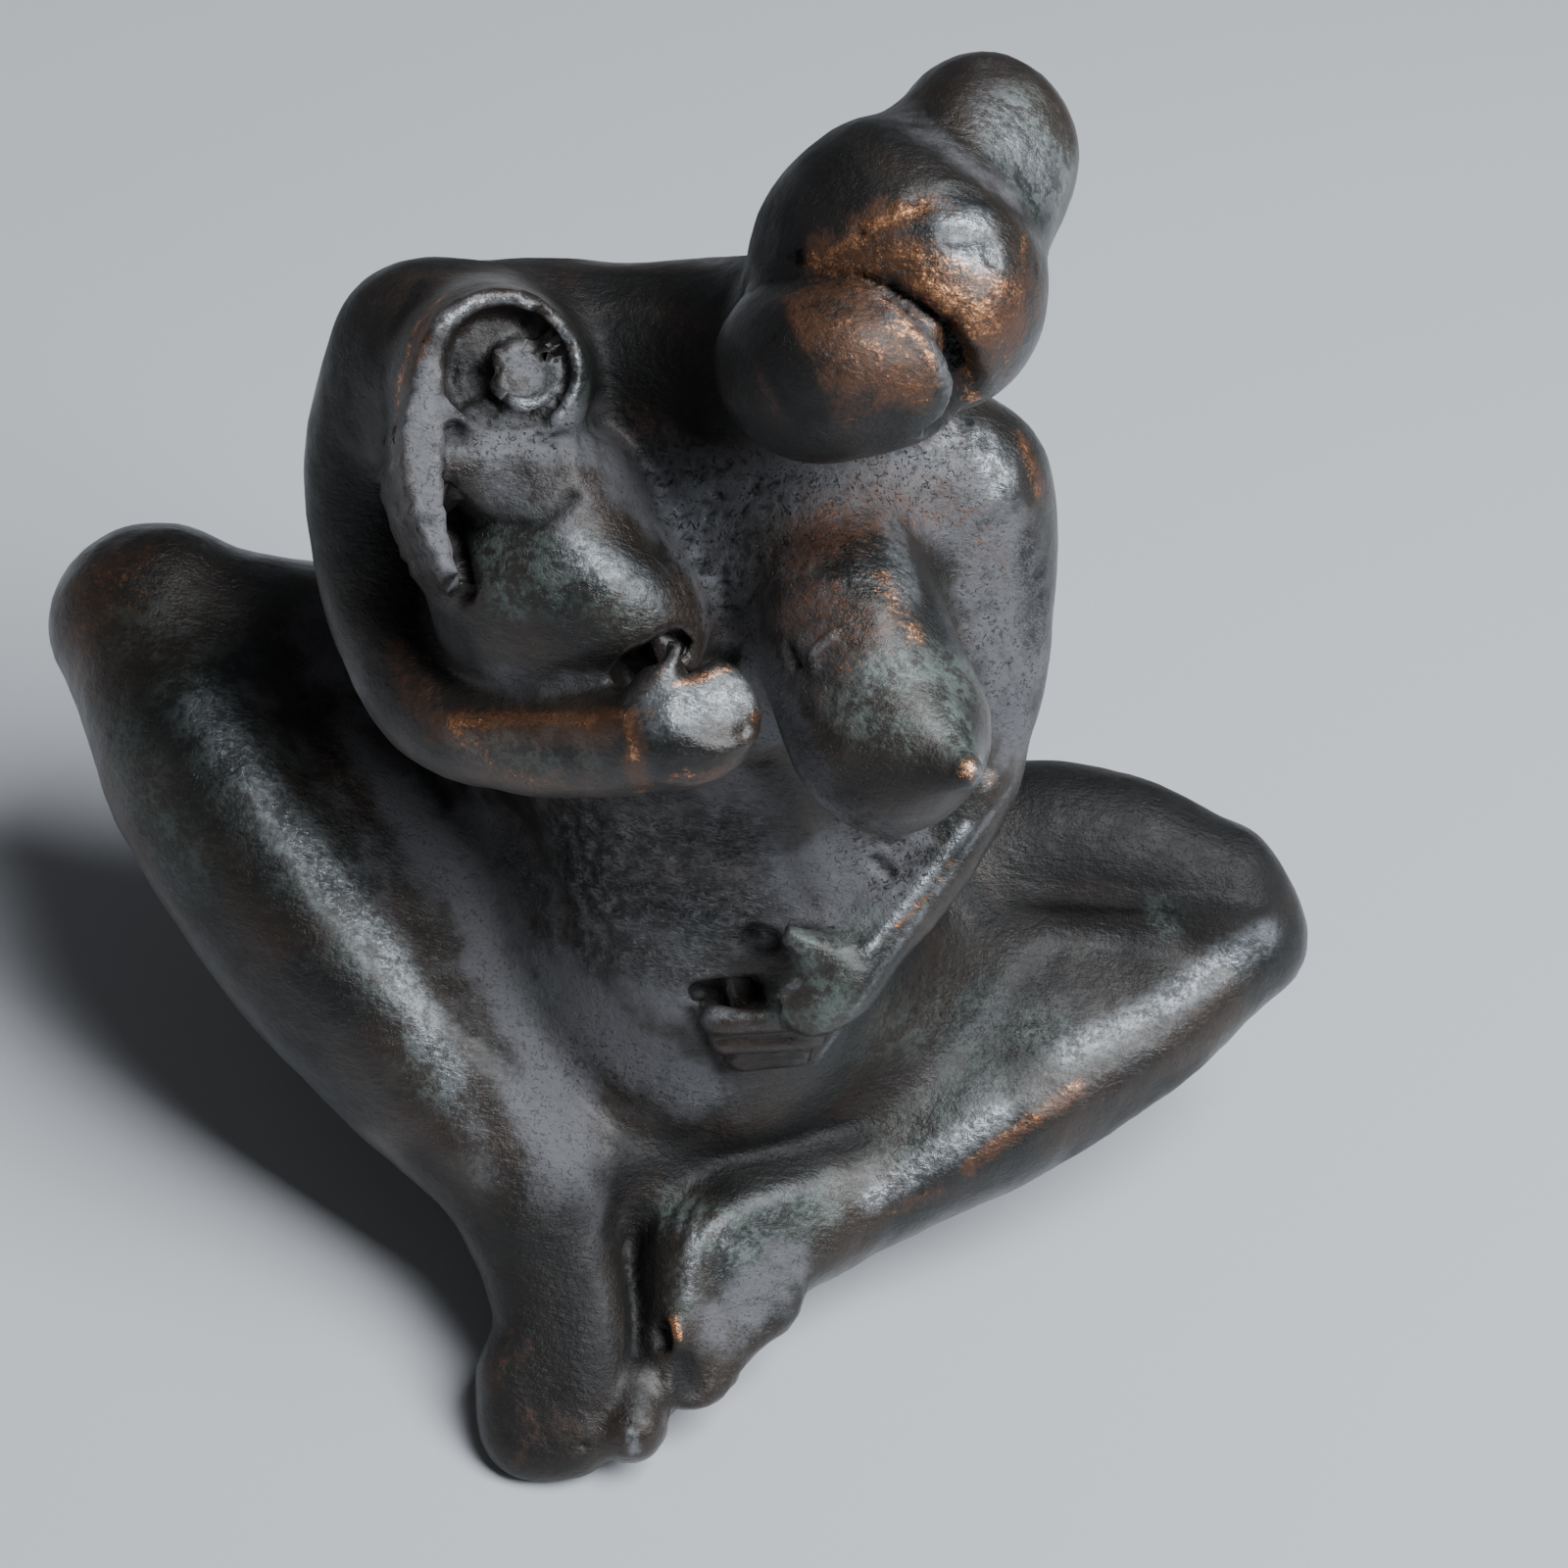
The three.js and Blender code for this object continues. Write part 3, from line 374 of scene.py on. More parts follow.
def right_hand(d, p):
    palm = egg(p, (-4.9, -19.8, 81.1), (5.6, 5.2, 4.3), LEAN, 23)
    fingers = egg(p, (-3.2, -19.8, 82.8), (3.7, 4.2, 3.5), LEAN, 10)
    mitten = both(join(palm, fingers, 1.5), below(p, (-4.7, -22, 84.1), (0.185, -0.405, 0.895)), 0.4)
    d = join(d, mitten, 0.8)
    d = cut(d, slot(p, (-10.5, -14.4, 80.7), (-6.6, -12.4, 83.1), 1.2, 3.4), 0.5)
    d = join(d, stick(p, (-8.4, -19.5, 83.2, 2), (-7.3, -17.6, 86.8, 1.15)), 0.7)
    return cut(d, slot(p, (-1.9, -20, 89), (0.1, -21, 83.5), 0.2, 0.9), 0.4)


def left_hand(d, p):
    d = cut(d, egg(p, (5.6, -15.6, 40.6), (5.4, 3.3, 2), LEAN, 8), 0.6)
    d = cut(d, slot(p, (1.2, -14.4, 42.2), (8.2, -14.4, 44.8), 0.95, 3.2), 0.5)
    d = cut(d, slot(p, (5.3, -12.8, 49), (7.1, -12.8, 48.7), 1.2, 2.4), 0.4)
    d = join(d, egg(p, (11.8, -13.1, 44.5), (4.2, 5, 3.1), LEAN, -20), 3)
    d = join(d, stick(p, (12.3, -13.3, 48.4, 1.7), (7.9, -13.3, 50.5, 1)), 1.2)
    d = join(d, stick(p, (12.2, -14.4, 41.9, 1.65), (3.2, -15, 39.7, 1.5)), 0.3)
    d = join(d, stick(p, (12.1, -14.4, 38.9, 1.6), (4.2, -15, 37.1, 1.45)), 0.7)
    return join(d, stick(p, (11.4, -14.4, 36, 1.4), (6.3, -15, 34.7, 1.3)), 0.7)


def figure(p):
    d = join(trunk(p), head(p), 3.5)
    for part, k in ((right_arm, 2), (left_arm, 6.5), (breast, 4.5), (bundle, 2.2), (legs, 2.2)):
        d = join(d, part(p), k)
    d = left_hand(right_hand(d, p), p)
    return join(d, feet(p), 2)


# Noise, the same on every run

CELL_FACTORS = np.array((374761393, 668265263, 2147483647), np.int64)
SEED_FACTOR = 144269504
MIX_FACTOR = 1274126177
NOISE_GAIN = 1.4


def cell_hash(cell, seed):
    mixed = cell @ CELL_FACTORS + seed * SEED_FACTOR
    mixed = (mixed ^ (mixed >> 13)) * MIX_FACTOR
    return mixed ^ (mixed >> 16)


def noise(p, size, seed):
    """Smooth noise between about -1 and 1, with lumps of the given size."""
    q = p / size
    cell = np.floor(q).astype(np.int64)
    t = (q - cell).astype(np.float32)
    s = t * t * t * (t * (t * 6 - 15) + 10)
    total = np.zeros(len(p), np.float32)
    for corner in np.ndindex(2, 2, 2):
        corner = np.array(corner)
        h = cell_hash(cell + corner, seed)
        slopes = np.stack([(h & 1023), (h >> 10) & 1023, (h >> 20) & 1023], 1) / 511.5 - 1
        weight = np.prod(np.where(corner, s, 1 - s), axis=1)
        total += weight * dot(slopes, t - corner)
    return total * NOISE_GAIN


def layered(p, size, seed, layers=2):
    """Noise with finer noise on top, each layer half as coarse and half as strong."""
    return sum(noise(p, size / 2 ** n, seed + n) / 2 ** n for n in range(layers))


# Where strokes of work and finish lie, and where light and shade are painted: each is two places
# in the picture (across, down, across, down), a radius on the skin in millimetres and a strength

WRINKLED = [
    (590, 850, 740, 860, 4.5, 1), (600, 900, 740, 930, 4.5, 1), (600, 960, 700, 980, 3.5, 0.7),
    (440, 960, 500, 1085, 3, 0.25), (420, 900, 460, 960, 2.5, 0.2), (640, 820, 700, 830, 3, 0.7),
    (530, 870, 560, 950, 3, 0.5), (1050, 560, 1060, 650, 2, 0.6),
]
WORMY = [
    (690, 500, 740, 610, 4, 1), (690, 560, 740, 650, 3.5, 1), (720, 490, 790, 500, 4, 0.9),
    (860, 470, 960, 470, 4, 0.8), (283, 657, 351, 780, 1.6, 0.8), (870, 830, 920, 890, 3.5, 0.8),
    (600, 1080, 720, 1130, 3, 0.5), (980, 620, 1040, 700, 4, 0.5), (500, 440, 560, 445, 2.5, 0.8),
    (780, 560, 860, 570, 3.5, 0.6), (550, 820, 760, 840, 3, 0.4), (930, 1010, 1050, 1050, 4, 0.4),
]
BLISTERED = [(1000, 455, 1022, 492, 2.2, 1), (985, 440, 1000, 455, 1.6, 0.7)]
BRUSHED = [
    (820, 560, 900, 640, 5, 1), (510, 1390, 600, 1470, 5, 1), (745, 1330, 790, 1300, 4, 0.5),
    (600, 560, 650, 590, 3.5, 0.8), (740, 860, 780, 900, 3, 1), (640, 640, 600, 670, 3, 0.5),
]
HOOD_INSIDE = [(460, 370, 560, 430, 4, 1)]
INSTEP = [(700, 1235, 740, 1290, 2.2, 1)]
UNDER_HAIR = [
    (806, 262, 875, 281, 0.3, 0.25), (875, 283, 905, 294, 0.4, 0.6), (905, 294, 935, 311, 0.55, 1),
    (935, 311, 966, 336, 0.7, 1.4), (966, 336, 981, 367, 0.85, 1.9), (981, 367, 987, 392, 1.1, 2.2),
    (984, 392, 976, 420, 1.4, 2.4), (976, 420, 960, 434, 1.2, 2),
]
NICKS = [
    (806, 661, 814, 680, 0.45, 0.5), (893, 878, 908, 890, 0.6, 0.6), (674, 1358, 676, 1370, 0.9, 1.3),
    (490, 385, 500, 375, 0.8, 0.7), (596, 1476, 612, 1500, 0.5, 0.6), (425, 530, 442, 534, 0.5, 0.35),
    (1184, 928, 1190, 940, 1.1, 0.25), (715, 572, 719, 580, 0.5, 0.5), (455, 380, 460, 440, 1, 0.5),
    (505, 408, 512, 414, 0.6, 0.4), (790, 1025, 730, 1022, 0.7, 0.5), (462, 535, 476, 602, 1, 0.9),
    (470, 508, 500, 534, 0.6, 0.4), (500, 534, 548, 536, 0.6, 0.4), (548, 536, 584, 508, 0.6, 0.4),
    (905, 100, 960, 130, 3, 0.7), (960, 130, 1050, 200, 3.5, 0.8), (1010, 250, 1012, 256, 0.5, 0.4),
    (1010, 264, 1014, 268, 0.5, 0.4), (970, 243, 1005, 242, 0.7, 0.35), (705, 678, 745, 668, 1.1, 1),
    (640, 692, 676, 664, 1.3, 1), (690, 1396, 702, 1416, 1.8, 0.8), (876, 233, 880, 238, 0.4, 0.3),
    (940, 205, 1000, 196, 1.2, 0.4),
]
RAISED = [
    (752, 668, 770, 690, 1, 0.5), (762, 752, 772, 735, 1, 0.4), (780, 790, 840, 900, 1.6, 0.45),
    (686, 1345, 692, 1372, 0.7, 0.35), (768, 955, 774, 955, 0.4, 0.4),
    (1044, 915, 1290, 925, 1.2, 0.3), (985, 845, 885, 970, 0.6, 0.3), (465, 742, 630, 738, 1.2, 0.3),
    (870, 291, 914, 319, 0.8, 0.3), (914, 319, 951, 362, 0.8, 0.3), (588, 395, 557, 442, 0.5, 0.25),
    (850, 649, 829, 667, 0.4, 0.35), (829, 667, 831, 684, 0.4, 0.35),
]

# Worn to copper, and on the right knee a painted reflection of a hand.
RUBBED_AND_REFLECTION_STROKES = [
    (835, 272, 900, 228, 1, 0.85), (880, 235, 945, 208, 1, 0.85), (930, 210, 975, 212, 0.7, 0.7),
    (815, 262, 880, 285, 1, 0.85), (860, 262, 930, 262, 1.5, 0.5), (880, 290, 950, 325, 1, 0.8),
    (925, 255, 985, 275, 1.6, 0.65), (950, 290, 1010, 330, 2.2, 0.75),
    (1000, 285, 1040, 300, 1.6, 0.7), (1045, 240, 1042, 270, 0.8, 0.6),
    (1035, 320, 1030, 380, 2, 0.42), (950, 325, 985, 370, 0.8, 0.95), (985, 370, 995, 410, 0.8, 0.95),
    (1000, 330, 1020, 350, 1.5, 0.5), (835, 285, 900, 295, 1.4, 0.5), (895, 300, 925, 335, 0.9, 0.75),
    (925, 335, 952, 372, 0.8, 0.75), (800, 300, 840, 320, 1.6, 0.45), (900, 345, 935, 400, 2.4, 0.52),
    (860, 330, 880, 380, 2.2, 0.45), (810, 325, 790, 340, 1.2, 0.4), (900, 410, 880, 430, 2.5, 0.35),
    (462, 738, 520, 735, 0.9, 0.9), (520, 735, 605, 736, 0.8, 0.85), (470, 755, 500, 775, 1.2, 0.6),
    (510, 790, 560, 800, 1.4, 0.5), (642, 728, 648, 770, 0.7, 0.9), (646, 770, 655, 808, 0.7, 0.85),
    (690, 700, 745, 682, 0.6, 0.9), (758, 685, 768, 735, 0.8, 1), (660, 800, 700, 790, 0.9, 0.55),
    (630, 728, 665, 728, 0.8, 0.6), (672, 690, 690, 660, 0.5, 0.4), (410, 640, 440, 690, 1.5, 0.35),
    (455, 302, 425, 335, 0.6, 0.8), (425, 335, 408, 395, 0.6, 0.8), (408, 395, 402, 470, 0.7, 0.7),
    (515, 345, 545, 342, 0.4, 0.6), (562, 325, 587, 365, 0.4, 0.7), (402, 470, 440, 600, 0.6, 0.4),
    (1040, 445, 1058, 500, 1, 0.7), (830, 530, 870, 500, 2, 0.45), (880, 500, 950, 545, 2.2, 0.45),
    (900, 590, 935, 650, 1.6, 0.6), (800, 570, 870, 620, 3.5, 0.36), (840, 620, 900, 700, 3.5, 0.33),
    (985, 500, 1000, 560, 1.8, 0.4), (990, 785, 1008, 795, 1, 0.95), (930, 835, 980, 820, 1.2, 0.4),
    # Painted reflection: the first two strokes below paint a hand's copper-brown reflection on the right
    # knee.
    (110, 575, 130, 615, 3, 0.42), (80, 640, 90, 700, 3, 0.33), (262, 830, 300, 870, 2, 0.2),
    (1100, 1105, 1040, 1150, 0.8, 0.65), (1040, 1150, 985, 1190, 0.8, 0.55),
    (900, 1245, 960, 1215, 0.7, 0.4), (915, 945, 945, 915, 0.5, 0.75), (955, 900, 970, 880, 0.5, 0.5),
    (716, 1028, 740, 1026, 0.5, 0.5), (792, 1012, 802, 1018, 0.6, 0.5), (688, 1345, 693, 1365, 0.5, 1),
    (716, 812, 735, 806, 0.8, 0.4), (1180, 1050, 1230, 1010, 1.5, 0.25),
    (540, 1395, 560, 1440, 3, 0.2), (395, 520, 440, 620, 2, 0.3),
]
# Red-brown patina around worn places, and on the right knee a painted reflection of a hand.
BROWNED_AND_REFLECTION_STROKES = [
    (800, 330, 930, 350, 3.5, 0.8), (860, 380, 930, 390, 3, 0.8), (830, 300, 880, 300, 2, 0.7),
    (790, 400, 880, 420, 3, 0.5), (830, 262, 930, 262, 2, 0.8), (950, 300, 1030, 330, 4, 0.9),
    (1000, 360, 1040, 390, 3, 0.7), (880, 225, 960, 210, 1.6, 0.8), (1010, 290, 1060, 300, 2.5, 0.6),
    (460, 745, 620, 742, 2.2, 0.9), (480, 790, 600, 800, 2.5, 0.6), (645, 735, 652, 800, 1.3, 1),
    (420, 700, 440, 750, 2, 0.5), (700, 800, 745, 780, 1.2, 0.6), (790, 560, 880, 530, 4, 0.7),
    (810, 610, 870, 640, 4, 0.6), (880, 490, 960, 510, 3, 0.6), (860, 690, 840, 760, 3, 0.35),
    # Painted reflection: the last stroke below and the first on the line after paint a hand's brown
    # reflection on the right knee.
    (1000, 520, 1020, 600, 3, 0.3), (1045, 450, 1060, 500, 1.2, 0.7), (90, 590, 75, 680, 4, 0.5),
    (120, 570, 160, 560, 3, 0.4), (110, 800, 200, 980, 3.5, 0.45), (440, 320, 412, 400, 1.2, 0.8),
    (405, 400, 415, 560, 1.5, 0.5), (395, 600, 420, 700, 2, 0.5), (640, 430, 740, 450, 3, 0.4),
    (700, 600, 740, 640, 3, 0.35), (600, 860, 740, 900, 5, 0.4), (1100, 1110, 990, 1190, 1.2, 0.7),
    (1160, 1070, 1230, 1020, 1.5, 0.3), (880, 1250, 960, 1215, 1.5, 0.4),
    (520, 1400, 560, 1480, 5, 0.25),
]
GREENED = [
    (1050, 120, 1085, 180, 2.6, 0.9), (1030, 150, 1060, 200, 2.2, 0.6), (1085, 200, 1075, 235, 2, 0.5),
    (500, 560, 520, 610, 2, 0.9), (540, 540, 560, 600, 2, 0.6), (580, 600, 640, 620, 2.5, 0.4),
    (900, 690, 985, 690, 2.6, 0.9), (960, 720, 990, 760, 2.2, 0.9), (860, 720, 920, 750, 2.2, 0.55),
    (825, 965, 850, 1030, 2.4, 1), (795, 1035, 830, 1045, 1.6, 0.8), (860, 960, 885, 940, 1.6, 0.6),
    (200, 700, 260, 800, 4, 0.5), (260, 800, 330, 900, 3.5, 0.55), (370, 960, 410, 1010, 2.6, 0.7),
    (150, 640, 220, 660, 4.5, 0.35), (120, 760, 180, 880, 4, 0.35), (420, 1060, 450, 1110, 2.5, 0.5),
    (690, 1240, 760, 1270, 2.6, 0.8), (700, 1290, 690, 1330, 2, 0.5), (790, 1245, 850, 1230, 2.4, 0.6),
    (900, 1050, 1000, 1040, 3.5, 0.3), (1050, 1045, 1090, 1060, 2.5, 0.5),
    (1000, 1100, 900, 1180, 3, 0.3), (480, 760, 560, 770, 2, 0.5), (570, 880, 640, 850, 3, 0.4),
    (545, 1010, 560, 1020, 2, 0.4), (570, 745, 600, 775, 1.6, 0.4), (590, 400, 605, 440, 1.5, 0.4),
    (1184, 925, 1190, 945, 1.6, 0.5),
]
# Dull grey patina; the last two strokes paint light on the right thigh where the forearm's shadow falls.
MATT_AND_LIGHT_STROKES = [
    (500, 850, 600, 1040, 5, 1), (600, 850, 680, 1000, 6, 1), (740, 830, 760, 920, 5, 1),
    (620, 1060, 700, 1110, 4.5, 1), (840, 880, 900, 900, 4.5, 1), (700, 930, 850, 900, 5, 1),
    (930, 860, 890, 930, 2.5, 0.8), (400, 800, 500, 960, 3, 1), (500, 980, 580, 1100, 4, 1),
    (560, 1120, 600, 1230, 4.5, 1), (640, 480, 740, 620, 4.5, 1), (740, 500, 860, 490, 4.5, 1),
    (760, 620, 780, 740, 2.5, 1), (900, 480, 980, 520, 4, 0.9), (1020, 560, 1050, 680, 4, 1),
    (1000, 600, 1040, 760, 3, 0.9), (780, 680, 840, 820, 3, 0.9), (800, 600, 850, 700, 5, 0.5),
    (430, 370, 420, 480, 1.8, 1), (430, 480, 465, 590, 1.8, 1), (470, 430, 590, 450, 3, 1),
    (528, 365, 550, 385, 1.6, 0.8), (740, 1350, 800, 1290, 3.5, 0.8), (610, 430, 640, 470, 2.5, 0.7),
    (260, 700, 400, 900, 2, 0.4), (500, 690, 610, 700, 1.5, 0.6), (500, 500, 580, 520, 3, 0.5),
    (910, 105, 1040, 195, 2, 0.6), (330, 640, 400, 780, 4, 0.9), (400, 780, 450, 900, 3.5, 0.9),
]
POLISHED = [
    (965, 218, 1000, 226, 1.4, 1), (985, 255, 1008, 262, 1.5, 1), (905, 302, 945, 332, 0.9, 1),
    (945, 332, 970, 390, 1, 0.7), (447, 328, 492, 306, 0.6, 0.9), (492, 306, 540, 313, 0.6, 0.9),
    (588, 395, 557, 442, 0.5, 0.6), (1030, 125, 1075, 175, 3, 0.6), (565, 330, 588, 368, 0.5, 1),
    (520, 412, 552, 408, 0.6, 1), (515, 346, 560, 350, 0.5, 0.8), (1000, 450, 1022, 495, 1.6, 1),
    (980, 440, 960, 450, 1.5, 0.6), (590, 560, 625, 580, 1.6, 0.7), (655, 600, 670, 615, 1.5, 0.35),
    (670, 725, 745, 712, 1.9, 0.8), (680, 690, 690, 660, 0.6, 0.6), (1000, 788, 1008, 795, 0.9, 1),
    (912, 540, 925, 600, 1.4, 0.6), (985, 845, 885, 970, 0.55, 0.9), (1030, 805, 835, 1080, 0.3, 0.4),
    (850, 649, 829, 667, 0.3, 0.6), (795, 1018, 812, 1005, 0.5, 0.8),
    (720, 1036, 790, 1034, 0.5, 0.25), (207, 718, 300, 850, 2, 0.7), (300, 850, 400, 975, 2.2, 0.8),
    (400, 975, 460, 1100, 2, 0.7), (460, 1100, 495, 1200, 1.6, 0.3), (1290, 955, 1190, 1022, 1.7, 0.9),
    (1190, 1022, 1090, 1075, 1.5, 0.7), (1020, 1135, 890, 1225, 1.4, 0.8),
    (710, 1255, 700, 1320, 0.8, 0.6), (645, 1462, 647, 1482, 0.5, 0.9), (690, 490, 760, 560, 4, 0.6),
    (900, 480, 960, 470, 2.5, 0.35), (770, 850, 790, 890, 1.2, 0.4), (690, 1250, 740, 1265, 1.2, 0.5),
]
# Painted shade: black painted where shadow falls, as on the neck under the head, in the crooks between
# parts, between the feet and on skin turned from the light.
SHADE_STROKES = [
    (620, 290, 740, 290, 4, 1), (640, 350, 720, 420, 5, 1), (760, 180, 800, 260, 5, 1),
    (770, 320, 790, 440, 4.5, 0.8), (830, 140, 870, 200, 4, 0.9), (420, 270, 600, 262, 2.5, 0.9),
    (345, 330, 345, 560, 5, 0.9), (380, 300, 390, 520, 3, 0.8), (390, 620, 470, 660, 3, 1),
    (370, 590, 400, 760, 2.5, 0.5), (1080, 790, 1250, 860, 4, 0.8), (1040, 850, 1050, 960, 4, 0.6),
    (950, 1000, 1000, 960, 4, 0.6), (150, 860, 350, 1130, 3.5, 0.7), (430, 1190, 500, 1270, 2.5, 0.8),
    (290, 590, 320, 640, 3, 0.6), (530, 1290, 560, 1500, 6, 0.8), (660, 1240, 655, 1380, 2.5, 1),
    (700, 1390, 700, 1420, 2, 1), (620, 1200, 640, 1330, 3, 0.8), (690, 1160, 640, 1200, 2.5, 0.9),
    (940, 80, 1000, 70, 4, 0.5), (890, 110, 960, 180, 4, 0.5), (600, 1420, 640, 1420, 3, 0.4),
    (840, 1310, 1000, 1240, 2.5, 0.8), (1100, 1175, 1300, 1035, 2.5, 0.7),
    (900, 440, 800, 462, 2, 0.6), (706, 1018, 790, 1008, 1.2, 1), (706, 1030, 735, 1090, 0.8, 0.9),
    (740, 1092, 800, 1090, 0.8, 0.8), (770, 952, 795, 962, 1.2, 1), (640, 700, 680, 655, 1.2, 1),
    (700, 690, 745, 665, 1, 0.8), (465, 490, 476, 600, 0.9, 1), (395, 600, 470, 650, 2.5, 1),
    (450, 350, 500, 340, 1.5, 0.8), (460, 400, 470, 440, 1.8, 0.9), (430, 290, 400, 340, 1.5, 0.9),
    (392, 380, 392, 560, 1.5, 0.9), (980, 420, 990, 430, 1, 1), (1060, 790, 1200, 830, 7, 1),
    (1080, 850, 1290, 900, 6, 1), (1090, 950, 1190, 1000, 5, 0.8), (1000, 1040, 1080, 980, 5, 0.8),
    (900, 1110, 980, 1060, 4, 0.7), (690, 1190, 870, 1160, 3, 1), (620, 1400, 640, 1440, 1.8, 0.7),
    (470, 508, 500, 534, 0.6, 0.7), (500, 534, 548, 536, 0.6, 0.7), (548, 536, 584, 508, 0.6, 0.7),
    (462, 535, 476, 602, 1, 1), (860, 810, 950, 790, 2.5, 0.8), (1100, 1000, 1230, 950, 4.5, 0.75),
    (950, 1090, 1080, 1040, 3.5, 0.6), (985, 905, 1008, 935, 2.2, 1), (580, 1250, 600, 1400, 4.5, 0.9),
    (640, 1170, 620, 1260, 2.5, 0.9), (800, 740, 850, 810, 2.5, 0.6), (690, 1396, 702, 1416, 1.8, 0.9),
    (400, 640, 440, 760, 3, 0.5), (340, 560, 360, 620, 3, 0.8), (800, 340, 930, 380, 5, 0.6),
    (780, 330, 820, 420, 4, 1), (820, 410, 900, 425, 4, 0.8), (860, 700, 900, 800, 5, 0.6),
    (940, 640, 975, 720, 3, 0.35), (640, 1262, 640, 1390, 1.2, 1), (600, 1250, 610, 1380, 4, 0.7),
    (640, 1400, 650, 1430, 1.5, 0.8), (790, 790, 800, 850, 2, 0.5), (640, 690, 690, 655, 1, 1),
    (470, 360, 488, 400, 1.7, 1), (475, 402, 505, 424, 1.4, 0.9), (680, 785, 750, 775, 1.2, 0.5),
    (500, 430, 540, 432, 0.6, 0.5), (800, 300, 860, 330, 3, 0.4), (770, 440, 900, 450, 2, 0.6),
    (500, 815, 700, 812, 1, 0.7),
]

# Painted shade: the gap under the hair is also painted black, a little wider than its groove.
GAP_SHADE_WIDTH = 1.15
SHADED_GAP = [(*place, GAP_SHADE_WIDTH * radius, min(1.0, depth)) for *place, radius, depth in UNDER_HAIR]
FINISHES = {"rubbed": RUBBED_AND_REFLECTION_STROKES, "browned": BROWNED_AND_REFLECTION_STROKES, "greened": GREENED, "matt": MATT_AND_LIGHT_STROKES, "polished": POLISHED,
            "sooty": SHADE_STROKES + SHADED_GAP, "wormy": WORMY, "wrinkled": WRINKLED}

# Length of the pieces that strokes are cut into, in the picture's pixels
STROKE_PIECE = 35

# The search along a line of sight: how far from the camera it starts, in millimetres, how many
# steps it takes, the share of the free room that each step uses, and the room's limits
SIGHT_START = 180.0
SIGHT_STEPS = 90
SIGHT_SHARE = 0.7
SIGHT_ROOM = (-2, 20)

# How suddenly a stroke ends at its edge, 1 being softest
STROKE_EDGE = 1.5


def split(strokes):
    """Cuts strokes into short pieces, so that they follow the skin."""
    pieces = []
    for x1, y1, x2, y2, radius, strength in strokes:
        count = max(1, round(math.hypot(x2 - x1, y2 - y1) / STROKE_PIECE))
        marks = np.linspace((x1, y1), (x2, y2), count + 1)
        pieces += [(*a, *b, radius, strength) for a, b in zip(marks[:-1], marks[1:])]
    return pieces


def on_skin(strokes):
    """Carries strokes from the picture along the lines of sight onto the figure's skin."""
    strokes = np.array(split(strokes), float)
    right, up, back = (np.array(axis) for axis in camera_axes())
    eye = np.array(CAMERA_FROM) + BOX_MIDDLE
    focus = CAMERA_LENS / SENSOR * PICTURE
    spots = strokes[:, :4].reshape(-1, 2) - PICTURE / 2
    way = spots[:, :1] * right - spots[:, 1:] * up - focus * back
    way = way / np.linalg.norm(way, axis=1)[:, None]
    gone = np.full(len(way), SIGHT_START)
    for _ in range(SIGHT_STEPS):
        room = figure((eye + way * gone[:, None]).astype(np.float32))
        gone += np.clip(room, *SIGHT_ROOM) * SIGHT_SHARE
    places = (eye + way * gone[:, None]).astype(np.float32).reshape(-1, 2, 3)
    return [(a, b, *values) for (a, b), values in zip(places, strokes[:, 4:].tolist())]


def near(p, strokes):
    """How close points are to strokes in the picture, from 0 to each one's strength."""
    mask = np.zeros(len(p), np.float32)
    for a, b, radius, strength in on_skin(strokes):
        way = b - a
        t = np.clip((p - a) @ way / max(float(way @ way), 1e-6), 0, 1)
        q = (p - a - t[:, None] * way) / radius
        mask = np.maximum(mask, strength * np.exp(-dot(q, q) ** STROKE_EDGE))
    return mask


# Worked surface: where the clay was lumpy, wrinkled, pitted, brushed or nicked, in millimetres.
# Plain grain has a depth, a size and a seed, and drawn grain also an angle and a stretch.
LUMPS = (0.2, 9.0, 11)
RIPPLES = (0.07, 2.6, 23)
BLISTERS = (0.5, 1.9, 91)
HOOD_GRAIN = (0.1, 2.2, 43)
WRINKLES = (0.45, 1.3, 37, LEVEL + 20, 4.0)
BRUSHWORK = (0.09, 0.9, 29, LEVEL - 75, 7.0)
WORMS = Named(depth=0.24, size=1.8, seed=51, width=0.14)
PITS = Named(depth=0.22, size=1.5, seed=67, limits=(0.45, 0.65), plain=0.35, wormy=0.8)
PIT_FIELDS = Named(size=9.0, seed=19, limits=(-0.1, 0.3))
ARCS = Named(middle=(10.5, -23.5, 16), depth=0.12, gap=1.1, waver=0.9, size=3, seed=71)


def grained(p, depth, size, seed):
    return depth * layered(p, size, seed)


def drawn(p, depth, size, seed, angle, stretch):
    """Grain drawn out along one direction of the plane that the picture faces."""
    return grained(p @ leaning(LEAN, angle) * vec(1 / stretch, 1, 1), depth, size, seed)


